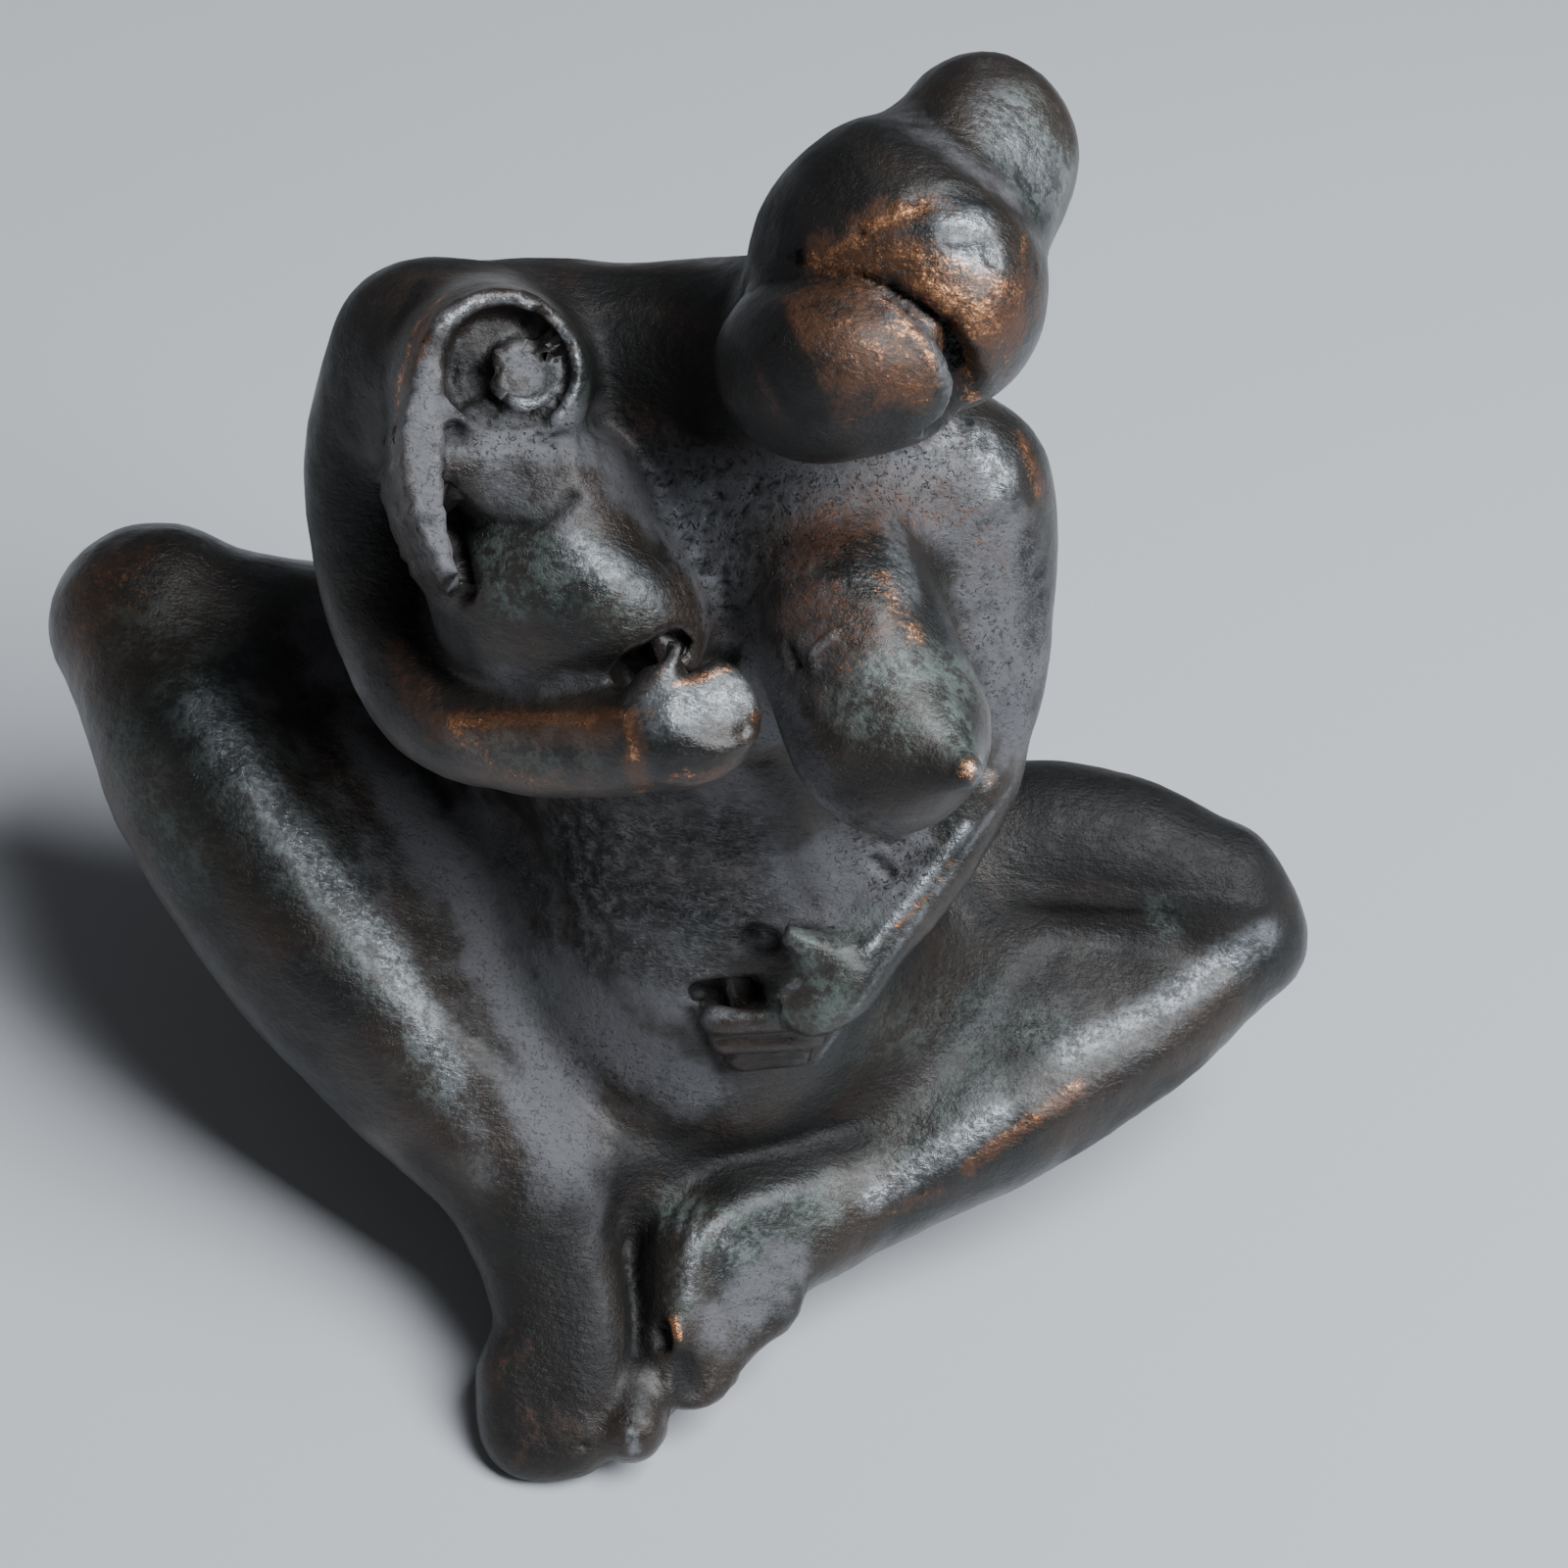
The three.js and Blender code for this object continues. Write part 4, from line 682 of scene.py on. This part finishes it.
def relief(p):
    """How far the worked surface stands out from the smooth form."""
    rise = grained(p, *LUMPS) + grained(p, *RIPPLES)
    rise += near(p, WRINKLED) * drawn(p, *WRINKLES)
    wormy = near(p, WORMY)
    worms = 1 - smoothstep(np.abs(layered(p, WORMS.size, WORMS.seed)), 0.0, WORMS.width)
    rise -= WORMS.depth * wormy * worms
    pits = smoothstep(noise(p, PITS.size, PITS.seed), *PITS.limits)
    pits *= smoothstep(noise(p, PIT_FIELDS.size, PIT_FIELDS.seed), *PIT_FIELDS.limits)
    rise -= PITS.depth * pits * (PITS.plain + PITS.wormy * wormy)
    rise += near(p, BLISTERED) * grained(p, *BLISTERS)
    rise += near(p, BRUSHED) * drawn(p, *BRUSHWORK)
    rise += near(p, HOOD_INSIDE) * grained(p, *HOOD_GRAIN)
    turns = length(p - vec(*ARCS.middle)) * 2 * math.pi / ARCS.gap
    arcs = np.sin(turns + ARCS.waver * noise(p, ARCS.size, ARCS.seed))
    rise += ARCS.depth * near(p, INSTEP) * arcs
    return rise + near(p, RAISED) - near(p, NICKS) - near(p, UNDER_HAIR)


# The skin is found with four probes this far from each point. Where the field hardly slopes, this
# stands for the slope's square, so that no point leaps away.
PROBES = np.array(((1, 1, 1), (1, -1, -1), (-1, 1, -1), (-1, -1, 1)), np.float32)
PROBE_REACH = np.float32(0.05)
LEAST_SLOPE = 0.25


def slope_at(p, field):
    """The field at each point and its slope, from four probes around it."""
    values = [field(p + probe * PROBE_REACH) for probe in PROBES]
    slope = sum(value[:, None] * probe for value, probe in zip(values, PROBES))
    return sum(values) / 4, slope / (4 * PROBE_REACH)


def onto_skin(p, field, furthest, passes):
    """Moves points onto the skin along its slope, and gives them with the skin's normals."""
    start = p
    for _ in range(passes):
        value, g = slope_at(p, field)
        p = p - g * (value / np.maximum(dot(g, g), LEAST_SLOPE))[:, None]
        away = p - start
        p = start + away * np.minimum(1, furthest / np.maximum(length(away), 1e-6))[:, None]
    return p, g / np.maximum(length(g), 1e-6)[:, None]


# Mesh helpers


def points_of(mesh):
    co = np.empty(len(mesh.vertices) * 3, np.float32)
    mesh.vertices.foreach_get("co", co)
    return co.reshape(-1, 3) / MM + BOX_MIDDLE


def put_points(mesh, p):
    mesh.vertices.foreach_set("co", ((p - BOX_MIDDLE) * MM).astype(np.float32).ravel())
    mesh.update()


def edges_of(mesh):
    ends = np.empty(len(mesh.edges) * 2, np.int32)
    mesh.edges.foreach_get("vertices", ends)
    return ends.reshape(-1, 2)


def spread(values, ends, times):
    """Averages a value at each vertex with its neighbours', the given number of times."""
    count = np.bincount(ends.ravel(), minlength=len(values)).astype(np.float32)
    for _ in range(times):
        total = np.bincount(ends[:, 0], values[ends[:, 1]], len(values))
        total += np.bincount(ends[:, 1], values[ends[:, 0]], len(values))
        values = ((values + total / count) / 2).astype(np.float32)
    return values


def crest(p, normals, ends):
    """How sharply the skin bulges at each vertex: above 0 on edges, below 0 where it bends inward."""
    way = p[ends[:, 1]] - p[ends[:, 0]]
    span = np.maximum(dot(way, way), 1e-6)
    first = -dot(way, normals[ends[:, 0]]) / span
    second = dot(way, normals[ends[:, 1]]) / span
    total = np.bincount(ends[:, 0], first, len(p)) + np.bincount(ends[:, 1], second, len(p))
    return (total / np.maximum(np.bincount(ends.ravel(), minlength=len(p)), 1)).astype(np.float32)


# How far the skin's shelter from the sky is looked for, in millimetres, and each distance's share of it;
# the shelter is painted as shade
SHELTER = ((1.5, 0.35), (4.0, 0.35), (9.0, 0.3))


def shelter(p, normals):
    """How much of the sky the skin around each vertex hides, from 0 in the open to 1."""
    hidden = np.zeros(len(p), np.float32)
    for reach, share in SHELTER:
        room = figure(p + normals * reach)
        hidden += share * np.clip(1 - room / reach, 0, 1)
    return hidden


def store(mesh, name, values):
    """Keeps a value at each vertex for the material to read."""
    layer = mesh.attributes.new(name, "FLOAT", "POINT")
    layer.data.foreach_set("value", np.ascontiguousarray(values, np.float32))


# Shader nodes


class Nodes:
    """A short way to place and link the nodes of one tree."""

    def __init__(self, tree):
        self.tree = tree

    def add(self, kind, inputs=None, **settings):
        node = self.tree.nodes.new(kind)
        for name, value in settings.items():
            setattr(node, name, value)
        for key, value in (inputs or {}).items():
            if isinstance(value, bpy.types.NodeSocket):
                self.tree.links.new(value, node.inputs[key])
            else:
                node.inputs[key].default_value = value
        return node

    def math(self, operation, a, b, clamp):
        return self.add("ShaderNodeMath", {0: a, 1: b}, operation=operation, use_clamp=clamp).outputs[0]

    def plus(self, a, b, clamp=False):
        return self.math("ADD", a, b, clamp)

    def minus(self, a, b, clamp=False):
        return self.math("SUBTRACT", a, b, clamp)

    def times(self, a, b, clamp=False):
        return self.math("MULTIPLY", a, b, clamp)

    def larger(self, a, b, clamp=False):
        return self.math("MAXIMUM", a, b, clamp)

    def ramp(self, value, low, high, to_low=0.0, to_high=1.0):
        inputs = {"Value": value, "From Min": low, "From Max": high, "To Min": to_low, "To Max": to_high}
        return self.add("ShaderNodeMapRange", inputs, interpolation_type="SMOOTHSTEP").outputs["Result"]

    def blend(self, factor, a, b):
        """The mix of two colours, each a socket or a plain colour."""
        a, b = (c if isinstance(c, bpy.types.NodeSocket) else colour(c) for c in (a, b))
        return self.add("ShaderNodeMix", {0: factor, 6: a, 7: b}, data_type="RGBA").outputs[2]

    def grain(self, place, size, detail, roughness, distortion):
        inputs = {"Vector": place, "Scale": 1 / (size * MM), "Detail": detail, "Roughness": roughness,
                  "Distortion": distortion}
        return self.add("ShaderNodeTexNoise", inputs).outputs["Fac"]


def colour(rgb):
    return (*rgb, 1.0)


def new_material(name):
    material = bpy.data.materials.new(name)
    material.use_nodes = True
    material.node_tree.nodes.clear()
    return material, Nodes(material.node_tree)


# The finish's grain: size in millimetres, detail, roughness and distortion
GRAINS = {
    "broad": (12.0, 3.0, 0.5, 0.0),
    "middling": (2.6, 4.0, 0.6, 0.0),
    "fine": (0.7, 4.0, 0.65, 0.0),
    "flakes": (0.5, 2.0, 0.5, 1.5),
    "specks": (0.55, 1.5, 0.5, 1.5),
}
DRAWN_GRAINS = {"strokes": (0.75, 4.0, 0.65, 1.2), "folds": (0.45, 3.0, 0.6, 2.0)}
DRAWN_SCALE = (0.3, 1.0, 1.0)

# Between which values of its grain or mask each thing sets in, and how strongly it then shows
LIMITS = Named(
    brown=(0.38, 0.62), grey=(0.0, 0.8), shelter=(0.45, 0.95), rust=(0.2, 1.0), specks=(0.42, 0.6),
    bare=(0.45, 1.05), bright=(0.6, 1.1), mottled=(0.42, 0.56), holes=(0.32, 0.39), gloss=(0.3, 0.7),
    folds=(0.52, 0.42), soot=(0.75, 0.95))
# Here too are set how dark the painted shade is, where the skin hides the sky and in shadowed places, and
# how grey the matt patina and its painted light are.
SHOWS = Named(
    grey=0.9, grey_grain=1.4, soot=0.9, shelter=0.7, rust=0.85, rust_grain=1.3, green=0.8,
    crests=0.25, strokes=1.6, flakes=1.3, wrinkled=0.85, steel=0.7, steel_metal=0.85, holes=0.7,
    creases=0.9, folds=0.9, dull=0.25, sharp=0.06)
HOLES_IN = Named(matt=0.25, anywhere=0.12)
FAINTEST_SPECKS = 0.15
FAINTEST_POLISH = 0.25
WRINKLE_POLISH = 0.4

# The bump's height in metres, and each thing's share of it
GRAIN_HEIGHT = 0.3 * MM
HEIGHTS = Named(fine=0.6, strokes=0.4, holes=0.8, folds=3.2)
WAX_ROUGHNESS = 0.3


def patina_colour(n, mask, grain, finish):
    """Black-brown to grey, the grey partly painted light; black painted as shade where the skin hides the
    sky and in shadowed places; then red patina, with a painted reflection on the right knee, and green
    bloom.
    """
    brown = n.ramp(grain.broad, *LIMITS.brown)
    patina = n.blend(brown, finish.patina_dark, finish.patina_brown)
    grey = n.times(n.minus(grain.middling, 0.55), SHOWS.grey_grain)
    grey = n.plus(n.times(mask.matt, SHOWS.grey), grey)
    patina = n.blend(n.ramp(grey, *LIMITS.grey), patina, finish.grey_patina_and_painted_light)
    # Painted shade: black laid where the skin hides the sky and in shadowed places.
    hidden = n.ramp(mask.hidden, *LIMITS.shelter, to_high=SHOWS.shelter)
    black = n.larger(n.times(mask.sooty, SHOWS.soot), hidden)
    patina = n.blend(black, patina, finish.shade_and_dirt_black)
    rust = n.plus(n.times(grain.fine, SHOWS.rust_grain), n.times(grain.middling, SHOWS.rust_grain))
    rust = n.plus(mask.browned, n.minus(rust, SHOWS.rust_grain))
    patina = n.blend(n.ramp(rust, *LIMITS.rust, to_high=SHOWS.rust), patina, finish.red_patina_and_reflection)
    specks = n.plus(n.times(grain.middling, 0.5), n.times(grain.fine, 0.5))
    specks = n.ramp(n.ramp(specks, *LIMITS.specks), 0.0, 1.0, to_low=FAINTEST_SPECKS)
    bloom = n.times(mask.greened, specks, clamp=True)
    return n.blend(n.times(bloom, SHOWS.green), patina, finish.green)


def wear_and_reflection_of(n, mask, grain):
    """How far the patina is worn off, where rubbing, sharp crests and grain add up; on the right knee it
    is a painted reflection of a hand.
    """
    wear_and_reflection = n.times(n.times(mask.crests, SHOWS.crests), n.minus(1.0, mask.matt))
    wear_and_reflection = n.plus(mask.rubbed, wear_and_reflection)
    wear_and_reflection = n.plus(wear_and_reflection, n.times(n.minus(grain.strokes, 0.5), SHOWS.strokes))
    return n.plus(wear_and_reflection, n.times(n.minus(grain.flakes, 0.5), SHOWS.flakes))


def dirt_and_shade_of(n, mask, grain, holes):
    """How much black lies on the skin: grime in pits, and painted shade in crease lines, in fold troughs
    and in shadowed places.
    """
    # Painted shade in crease lines.
    dirt_and_shade = n.larger(n.times(holes, SHOWS.holes), n.times(mask.creases, SHOWS.creases))
    # Painted shade in the troughs of the folds, following their bump.
    folds = n.times(mask.wrinkled, n.ramp(grain.folds, *LIMITS.folds, to_high=SHOWS.folds))
    dirt_and_shade = n.larger(dirt_and_shade, folds)
    # Painted shade in shadowed places.
    return n.larger(dirt_and_shade, n.ramp(mask.sooty, *LIMITS.soot), clamp=True)


def bronze_material(finish):
    """Black-brown patina with green bloom, worn through to copper where hands have handled it, with shade
    painted in black, light painted in grey and a hand's reflection painted on the right knee.
    """
    material, n = new_material("Patinated Bronze")
    place = n.add("ShaderNodeTexCoord").outputs["Object"]
    mask = Named(**{name: n.add("ShaderNodeAttribute", attribute_name=name).outputs["Fac"]
                    for name in (*FINISHES, "crests", "creases", "hidden")})
    mask.matt = n.times(mask.matt, n.minus(1.0, n.times(mask.wrinkled, SHOWS.wrinkled)))
    turned = n.add("ShaderNodeMapping", {
        "Vector": place, "Rotation": finish.stroke_turn, "Scale": DRAWN_SCALE}).outputs[0]
    grain = Named(**{name: n.grain(place, *values) for name, values in GRAINS.items()},
                  **{name: n.grain(turned, *values) for name, values in DRAWN_GRAINS.items()})

    # Copper shows where the patina is worn off, and as a painted reflection on the right knee
    wear_and_reflection = wear_and_reflection_of(n, mask, grain)
    bare = n.ramp(wear_and_reflection, *LIMITS.bare)
    copper = n.blend(n.ramp(wear_and_reflection, *LIMITS.bright), finish.copper_dark, finish.copper)
    base = n.blend(bare, patina_colour(n, mask, grain, finish), copper)

    # Polished ridges are bare dark metal; grime darkens pits, and painted shade darkens crease lines,
    # fold troughs and shadowed places
    mottled = n.plus(n.times(grain.fine, 0.6), n.times(grain.middling, 0.4))
    polished = n.larger(mask.polished, n.times(mask.wrinkled, WRINKLE_POLISH))
    polished = n.times(polished, n.ramp(mottled, *LIMITS.mottled, to_low=FAINTEST_POLISH))
    base = n.blend(n.times(polished, SHOWS.steel), base, finish.steel)
    sound = n.ramp(grain.specks, *LIMITS.holes)
    pitted = n.plus(mask.wormy, n.times(mask.matt, HOLES_IN.matt))
    pitted = n.plus(pitted, HOLES_IN.anywhere, clamp=True)
    dirt_and_shade = dirt_and_shade_of(n, mask, grain, n.times(n.minus(1.0, sound), pitted))
    base = n.blend(dirt_and_shade, base, finish.shade_and_dirt_black)

    # Matt places, those painted light among them, and places painted in shade are rough and not metallic,
    # polished and bare ones the other way round
    dull = n.larger(mask.matt, mask.sooty)
    roughness = n.ramp(grain.middling, *LIMITS.gloss, finish.gloss_low, finish.gloss_high)
    roughness = n.plus(roughness, n.times(dull, SHOWS.dull))
    roughness = n.minus(roughness, n.times(mask.crests, SHOWS.sharp))
    roughness = n.minus(roughness, n.times(polished, finish.polish), clamp=True)
    metal = n.times(n.minus(1.0, dull), finish.patina_metal)
    metal = n.larger(n.larger(metal, n.times(polished, SHOWS.steel_metal)), bare)

    # Fine grain, pits, wrinkles and brushing
    height = n.plus(n.times(grain.fine, HEIGHTS.fine), n.times(grain.strokes, HEIGHTS.strokes))
    height = n.plus(height, n.times(sound, n.times(pitted, HEIGHTS.holes)))
    height = n.plus(height, n.times(grain.folds, n.times(mask.wrinkled, HEIGHTS.folds)))
    bump = n.add("ShaderNodeBump", {"Strength": 1.0, "Distance": GRAIN_HEIGHT, "Height": height})

    shader = n.add("ShaderNodeBsdfPrincipled", {
        "Base Color": base,
        "Metallic": metal,
        "Roughness": roughness,
        "Normal": bump.outputs[0],
        "Coat Weight": n.minus(finish.wax, n.times(dull, finish.wax)),
        "Coat Roughness": WAX_ROUGHNESS,
    })
    n.add("ShaderNodeOutputMaterial", {"Surface": shader.outputs[0]})
    return material


# The skin: a merged copy of the casting, remeshed, drawn finely where it faces the camera. The gap
# under the hair is filled with the hair's own masses, a little small, and carved again as relief.
PLUG = 0.985
PLUG_CUTS = 5
WELD = 1e-6

# A corner whose normal points at the camera by this share is drawn finely
FACING_LEAST = 0.36

# In millimetres: the foot's rounding, how far the skin may be moved, and between which heights
# above the floor the worked surface sets in
STANDING_EDGE = 0.8
FURTHEST = 1.2
UNWORKED_FOOT = (0.3, 2.5)

# From the skin's bulge to the mask of crests and to the mask of crease lines painted in shade
CREST_GAIN = 1.6
CREASE_GAIN = 2.4
CREASE_START = 0.15


def fine_skin(voxel):
    """The casting's own solid as one closed skin of even faces."""
    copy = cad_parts[NODE].data.copy()
    bm = bmesh.new()
    bm.from_mesh(copy)
    bmesh.ops.remove_doubles(bm, verts=bm.verts, dist=WELD)
    for centre, radii, tilt, spin in (CROWN, SIDE_HAIR):
        place = Matrix.Translation((Vector(centre) - Vector(BOX_MIDDLE.tolist())) * MM)
        place = place @ Matrix(leaning(tilt, spin).tolist()).to_4x4()
        place = place @ Matrix.Diagonal((*(radius * PLUG * MM for radius in radii), 1))
        bmesh.ops.create_icosphere(bm, subdivisions=PLUG_CUTS, radius=1, matrix=place)
    bm.to_mesh(copy)
    bm.free()
    piece = bpy.data.objects.new("Seated_Goddess", copy)
    bpy.context.scene.collection.objects.link(piece)
    remesh = piece.modifiers.new("Skin", "REMESH")
    remesh.mode = "VOXEL"
    remesh.voxel_size = voxel
    remesh.use_smooth_shade = True
    graph = bpy.context.evaluated_depsgraph_get()
    mesh = bpy.data.meshes.new_from_object(piece.evaluated_get(graph), depsgraph=graph)
    piece.modifiers.clear()
    piece.data = mesh
    return piece


def standing(p):
    """The figure cut flat where it stands."""
    return both(figure(p), -p[:, 2], STANDING_EDGE)


def refine(mesh, facing):
    """Cuts the faces that look towards the camera in four."""
    bm = bmesh.new()
    bm.from_mesh(mesh)
    chosen = {v for v in bm.verts if v.normal.dot(facing) > FACING_LEAST}
    edges = [e for e in bm.edges if e.verts[0] in chosen and e.verts[1] in chosen]
    bmesh.ops.subdivide_edges(bm, edges=edges, cuts=1, use_grid_fill=True)
    bm.to_mesh(mesh)
    bm.free()


# What the settings for colours and for shares have in common
COLOUR = {"subtype": "COLOR", "min": 0, "max": 1}
SHARE = {"subtype": "FACTOR", "min": 0, "max": 1}


class GoddessSizes(bpy.types.PropertyGroup):
    voxel: FloatProperty(
        name="Grain of the Skin",
        description="Edge length of the skin's faces before the fine parts are cut finer",
        default=MM, min=0.4 * MM, max=3 * MM, subtype="DISTANCE", unit="LENGTH")
    relief: FloatProperty(
        name="Surface Relief",
        description="How strongly lumps, wrinkles and pits stand out, 1 being as cast",
        default=1.0, min=0.0, max=2.0)


class GoddessFinish(bpy.types.PropertyGroup):
    # Black painted as shade where the skin hides the sky, in crease lines, fold troughs and shadowed
    # places, and laid as grime in pits.
    shade_and_dirt_black: FloatVectorProperty(
        name="Black Patina", description="Colour in sheltered and sooty places",
        default=(0.006, 0.005, 0.0045), **COLOUR)
    patina_dark: FloatVectorProperty(
        name="Dark Patina", description="Colour of the darker patina",
        default=(0.020, 0.020, 0.019), **COLOUR)
    patina_brown: FloatVectorProperty(
        name="Brown Patina", description="Colour of the browner patina",
        default=(0.042, 0.031, 0.024), **COLOUR)
    # Grey of the dull patina, also painted as light on the right thigh where the forearm's shadow falls.
    grey_patina_and_painted_light: FloatVectorProperty(
        name="Grey Patina", description="Colour of the dull belly and chest",
        default=(0.134, 0.131, 0.138), **COLOUR)
    # Also the brown of a hand's reflection painted on the right knee.
    red_patina_and_reflection: FloatVectorProperty(
        name="Red Patina", description="Colour around rubbed places",
        default=(0.105, 0.045, 0.022), **COLOUR)
    steel: FloatVectorProperty(
        name="Polished Metal", description="Colour of ridges polished but not bright",
        default=(0.36, 0.38, 0.40), **COLOUR)
    green: FloatVectorProperty(
        name="Green Bloom", description="Colour of the green bloom in the patina",
        default=(0.150, 0.188, 0.168), **COLOUR)
    # Also the colour of a hand's reflection painted on the right knee.
    copper: FloatVectorProperty(
        name="Bare Copper", description="Colour of the rubbed metal",
        default=(0.58, 0.29, 0.15), **COLOUR)
    copper_dark: FloatVectorProperty(
        name="Dull Copper", description="Colour of the metal under thin patina",
        default=(0.21, 0.09, 0.04), **COLOUR)
    stroke_turn: FloatVectorProperty(
        name="Way of the Strokes", description="Turn of the grain that rubbing follows",
        default=(0.7, 0.5, 0.6), subtype="EULER")
    wax: FloatProperty(
        name="Wax", description="How much wax lies on the skin that isn't matt",
        default=0.3, **SHARE)
    polish: FloatProperty(
        name="Polish", description="How much smoother the polished ridges are",
        default=0.14, **SHARE)
    gloss_low: FloatProperty(
        name="Smoothest", description="Roughness of the skin where it shines most",
        default=0.30, **SHARE)
    gloss_high: FloatProperty(
        name="Dullest", description="Roughness of the skin where it is dull",
        default=0.44, **SHARE)
    patina_metal: FloatProperty(
        name="Metal in the Patina", description="How metallic the patina looks",
        default=0.3, **SHARE)


class GoddessStage(bpy.types.PropertyGroup):
    floor_colour: FloatVectorProperty(
        name="Floor", description="Colour of the plain floor",
        default=(0.62, 0.63, 0.65), **COLOUR)
    window_power: FloatProperty(
        name="Window Light", description="Strength of the large soft light",
        default=12.5, min=0, subtype="POWER", unit="POWER")


class GODDESS_OT_figure(bpy.types.Operator):
    """Model the seated goddess and give her the patina"""
    bl_idname = "goddess.figure"
    bl_label = "Seated Goddess"

    def execute(self, context):
        sizes = context.scene.goddess_sizes
        piece = fine_skin(sizes.voxel)
        mesh = piece.data
        put_points(mesh, onto_skin(points_of(mesh), standing, FURTHEST, 1)[0])
        refine(mesh, camera_axes()[2])
        skin, normals = onto_skin(points_of(mesh), standing, FURTHEST, 2)
        above = smoothstep(skin[:, 2], *UNWORKED_FOOT)
        worked = skin + normals * (relief(skin) * above * sizes.relief)[:, None]
        low, high = (vec(*corner) / MM + BOX_MIDDLE for corner in CAD_BOX)
        put_points(mesh, np.clip(worked, low, high))
        ends = edges_of(mesh)
        bulge = crest(worked, normals, ends)
        store(mesh, "crests", np.clip(spread(bulge, ends, 3) * CREST_GAIN, 0, 1))
        # Painted shade in crease lines, where the skin bends inward.
        folded = spread(bulge, ends, 1) * -CREASE_GAIN - CREASE_START
        store(mesh, "creases", np.clip(folded, 0, 1))
        # Painted shade where the skin hides the sky.
        store(mesh, "hidden", spread(shelter(skin, normals), ends, 2))
        for name, strokes in FINISHES.items():
            store(mesh, name, near(skin, strokes))
        mesh.shade_smooth()
        mesh.materials.clear()
        mesh.materials.append(bronze_material(context.scene.goddess_finish))
        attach(piece, "root")
        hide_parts(NODE)
        return {"FINISHED"}


# Studio

FLOOR_SIZE = 3.0
FLOOR_ROUGHNESS = 0.9

# Each light's way from the aim, as shares of the picture's right, its up and back to the camera,
# its distance, its size and its tint
WINDOW = Named(way=(0.58, 0.38, 0.72), far=0.8, size=(0.42, 0.7), tint=(0.90, 0.95, 1.0))
REFLECTOR = Named(way=(-0.8, 0.1, 0.5), far=0.9, size=(0.5, 0.7), tint=(1.0, 0.95, 0.9))
REFLECTOR_SHARE = 0.02
ROOM_COLOUR = (0.8, 0.85, 0.95)
ROOM_STRENGTH = 0.06
NEAREST_SEEN = 0.01


def add_area(name, kind, power):
    """Hangs a rectangular light and turns it to the camera's aim."""
    light = bpy.data.lights.new(name, "AREA")
    light.shape = "RECTANGLE"
    light.size, light.size_y = kind.size
    light.energy = power
    light.color = kind.tint
    lamp = bpy.data.objects.new(name, light)
    way = Matrix(camera_axes()).transposed() @ Vector(kind.way) * kind.far
    lamp.location = Vector(CAMERA_TO) * MM + way
    lamp.rotation_euler = (-way).to_track_quat("-Z", "Y").to_euler()
    bpy.context.scene.collection.objects.link(lamp)


class GODDESS_OT_stage(bpy.types.Operator):
    """Lay the floor, hang the lights and set up the camera"""
    bl_idname = "goddess.stage"
    bl_label = "Studio"

    def execute(self, context):
        stage = context.scene.goddess_stage
        bm = bmesh.new()
        bmesh.ops.create_grid(bm, x_segments=1, y_segments=1, size=FLOOR_SIZE)
        mesh = bpy.data.meshes.new("Floor")
        bm.to_mesh(mesh)
        bm.free()
        floor = bpy.data.objects.new("Floor", mesh)
        context.scene.collection.objects.link(floor)
        material, n = new_material("Plain Floor")
        shader = n.add("ShaderNodeBsdfPrincipled", {
            "Base Color": colour(stage.floor_colour), "Roughness": FLOOR_ROUGHNESS})
        n.add("ShaderNodeOutputMaterial", {"Surface": shader.outputs[0]})
        mesh.materials.append(material)

        add_area("Window", WINDOW, stage.window_power)
        add_area("Reflector", REFLECTOR, stage.window_power * REFLECTOR_SHARE)
        world = bpy.data.worlds.new("Room")
        world.use_nodes = True
        background = world.node_tree.nodes["Background"].inputs
        background["Color"].default_value = colour(ROOM_COLOUR)
        background["Strength"].default_value = ROOM_STRENGTH
        context.scene.world = world

        lens = bpy.data.cameras.new("Camera")
        lens.lens = CAMERA_LENS
        lens.sensor_width = SENSOR
        lens.clip_start = NEAREST_SEEN
        camera = bpy.data.objects.new("Camera", lens)
        axes = Matrix(camera_axes()).transposed().to_4x4()
        camera.matrix_world = Matrix.Translation(Vector(CAMERA_FROM) * MM) @ axes
        context.scene.collection.objects.link(camera)
        context.scene.camera = camera
        return {"FINISHED"}


class GODDESS_PT_panel(bpy.types.Panel):
    bl_label = "Seated Goddess"
    bl_idname = "GODDESS_PT_panel"
    bl_space_type = "VIEW_3D"
    bl_region_type = "UI"
    bl_category = "Goddess"

    def draw(self, context):
        layout = self.layout
        scene = context.scene
        for group in (scene.goddess_sizes, scene.goddess_finish, scene.goddess_stage):
            for name in group.bl_rna.properties.keys():
                if name not in {"rna_type", "name"}:
                    layout.prop(group, name)
        layout.operator("goddess.figure")
        layout.operator("goddess.stage")


CLASSES = (
    GoddessSizes, GoddessFinish, GoddessStage,
    GODDESS_OT_figure, GODDESS_OT_stage, GODDESS_PT_panel,
)


def register():
    for cls in CLASSES:
        bpy.utils.register_class(cls)
    bpy.types.Scene.goddess_sizes = PointerProperty(type=GoddessSizes)
    bpy.types.Scene.goddess_finish = PointerProperty(type=GoddessFinish)
    bpy.types.Scene.goddess_stage = PointerProperty(type=GoddessStage)


def unregister():
    del bpy.types.Scene.goddess_stage
    del bpy.types.Scene.goddess_finish
    del bpy.types.Scene.goddess_sizes
    for cls in reversed(CLASSES):
        bpy.utils.unregister_class(cls)


def main():
    register()
    bpy.ops.goddess.figure()
    bpy.ops.goddess.stage()


if __name__ == "__main__":
    main()
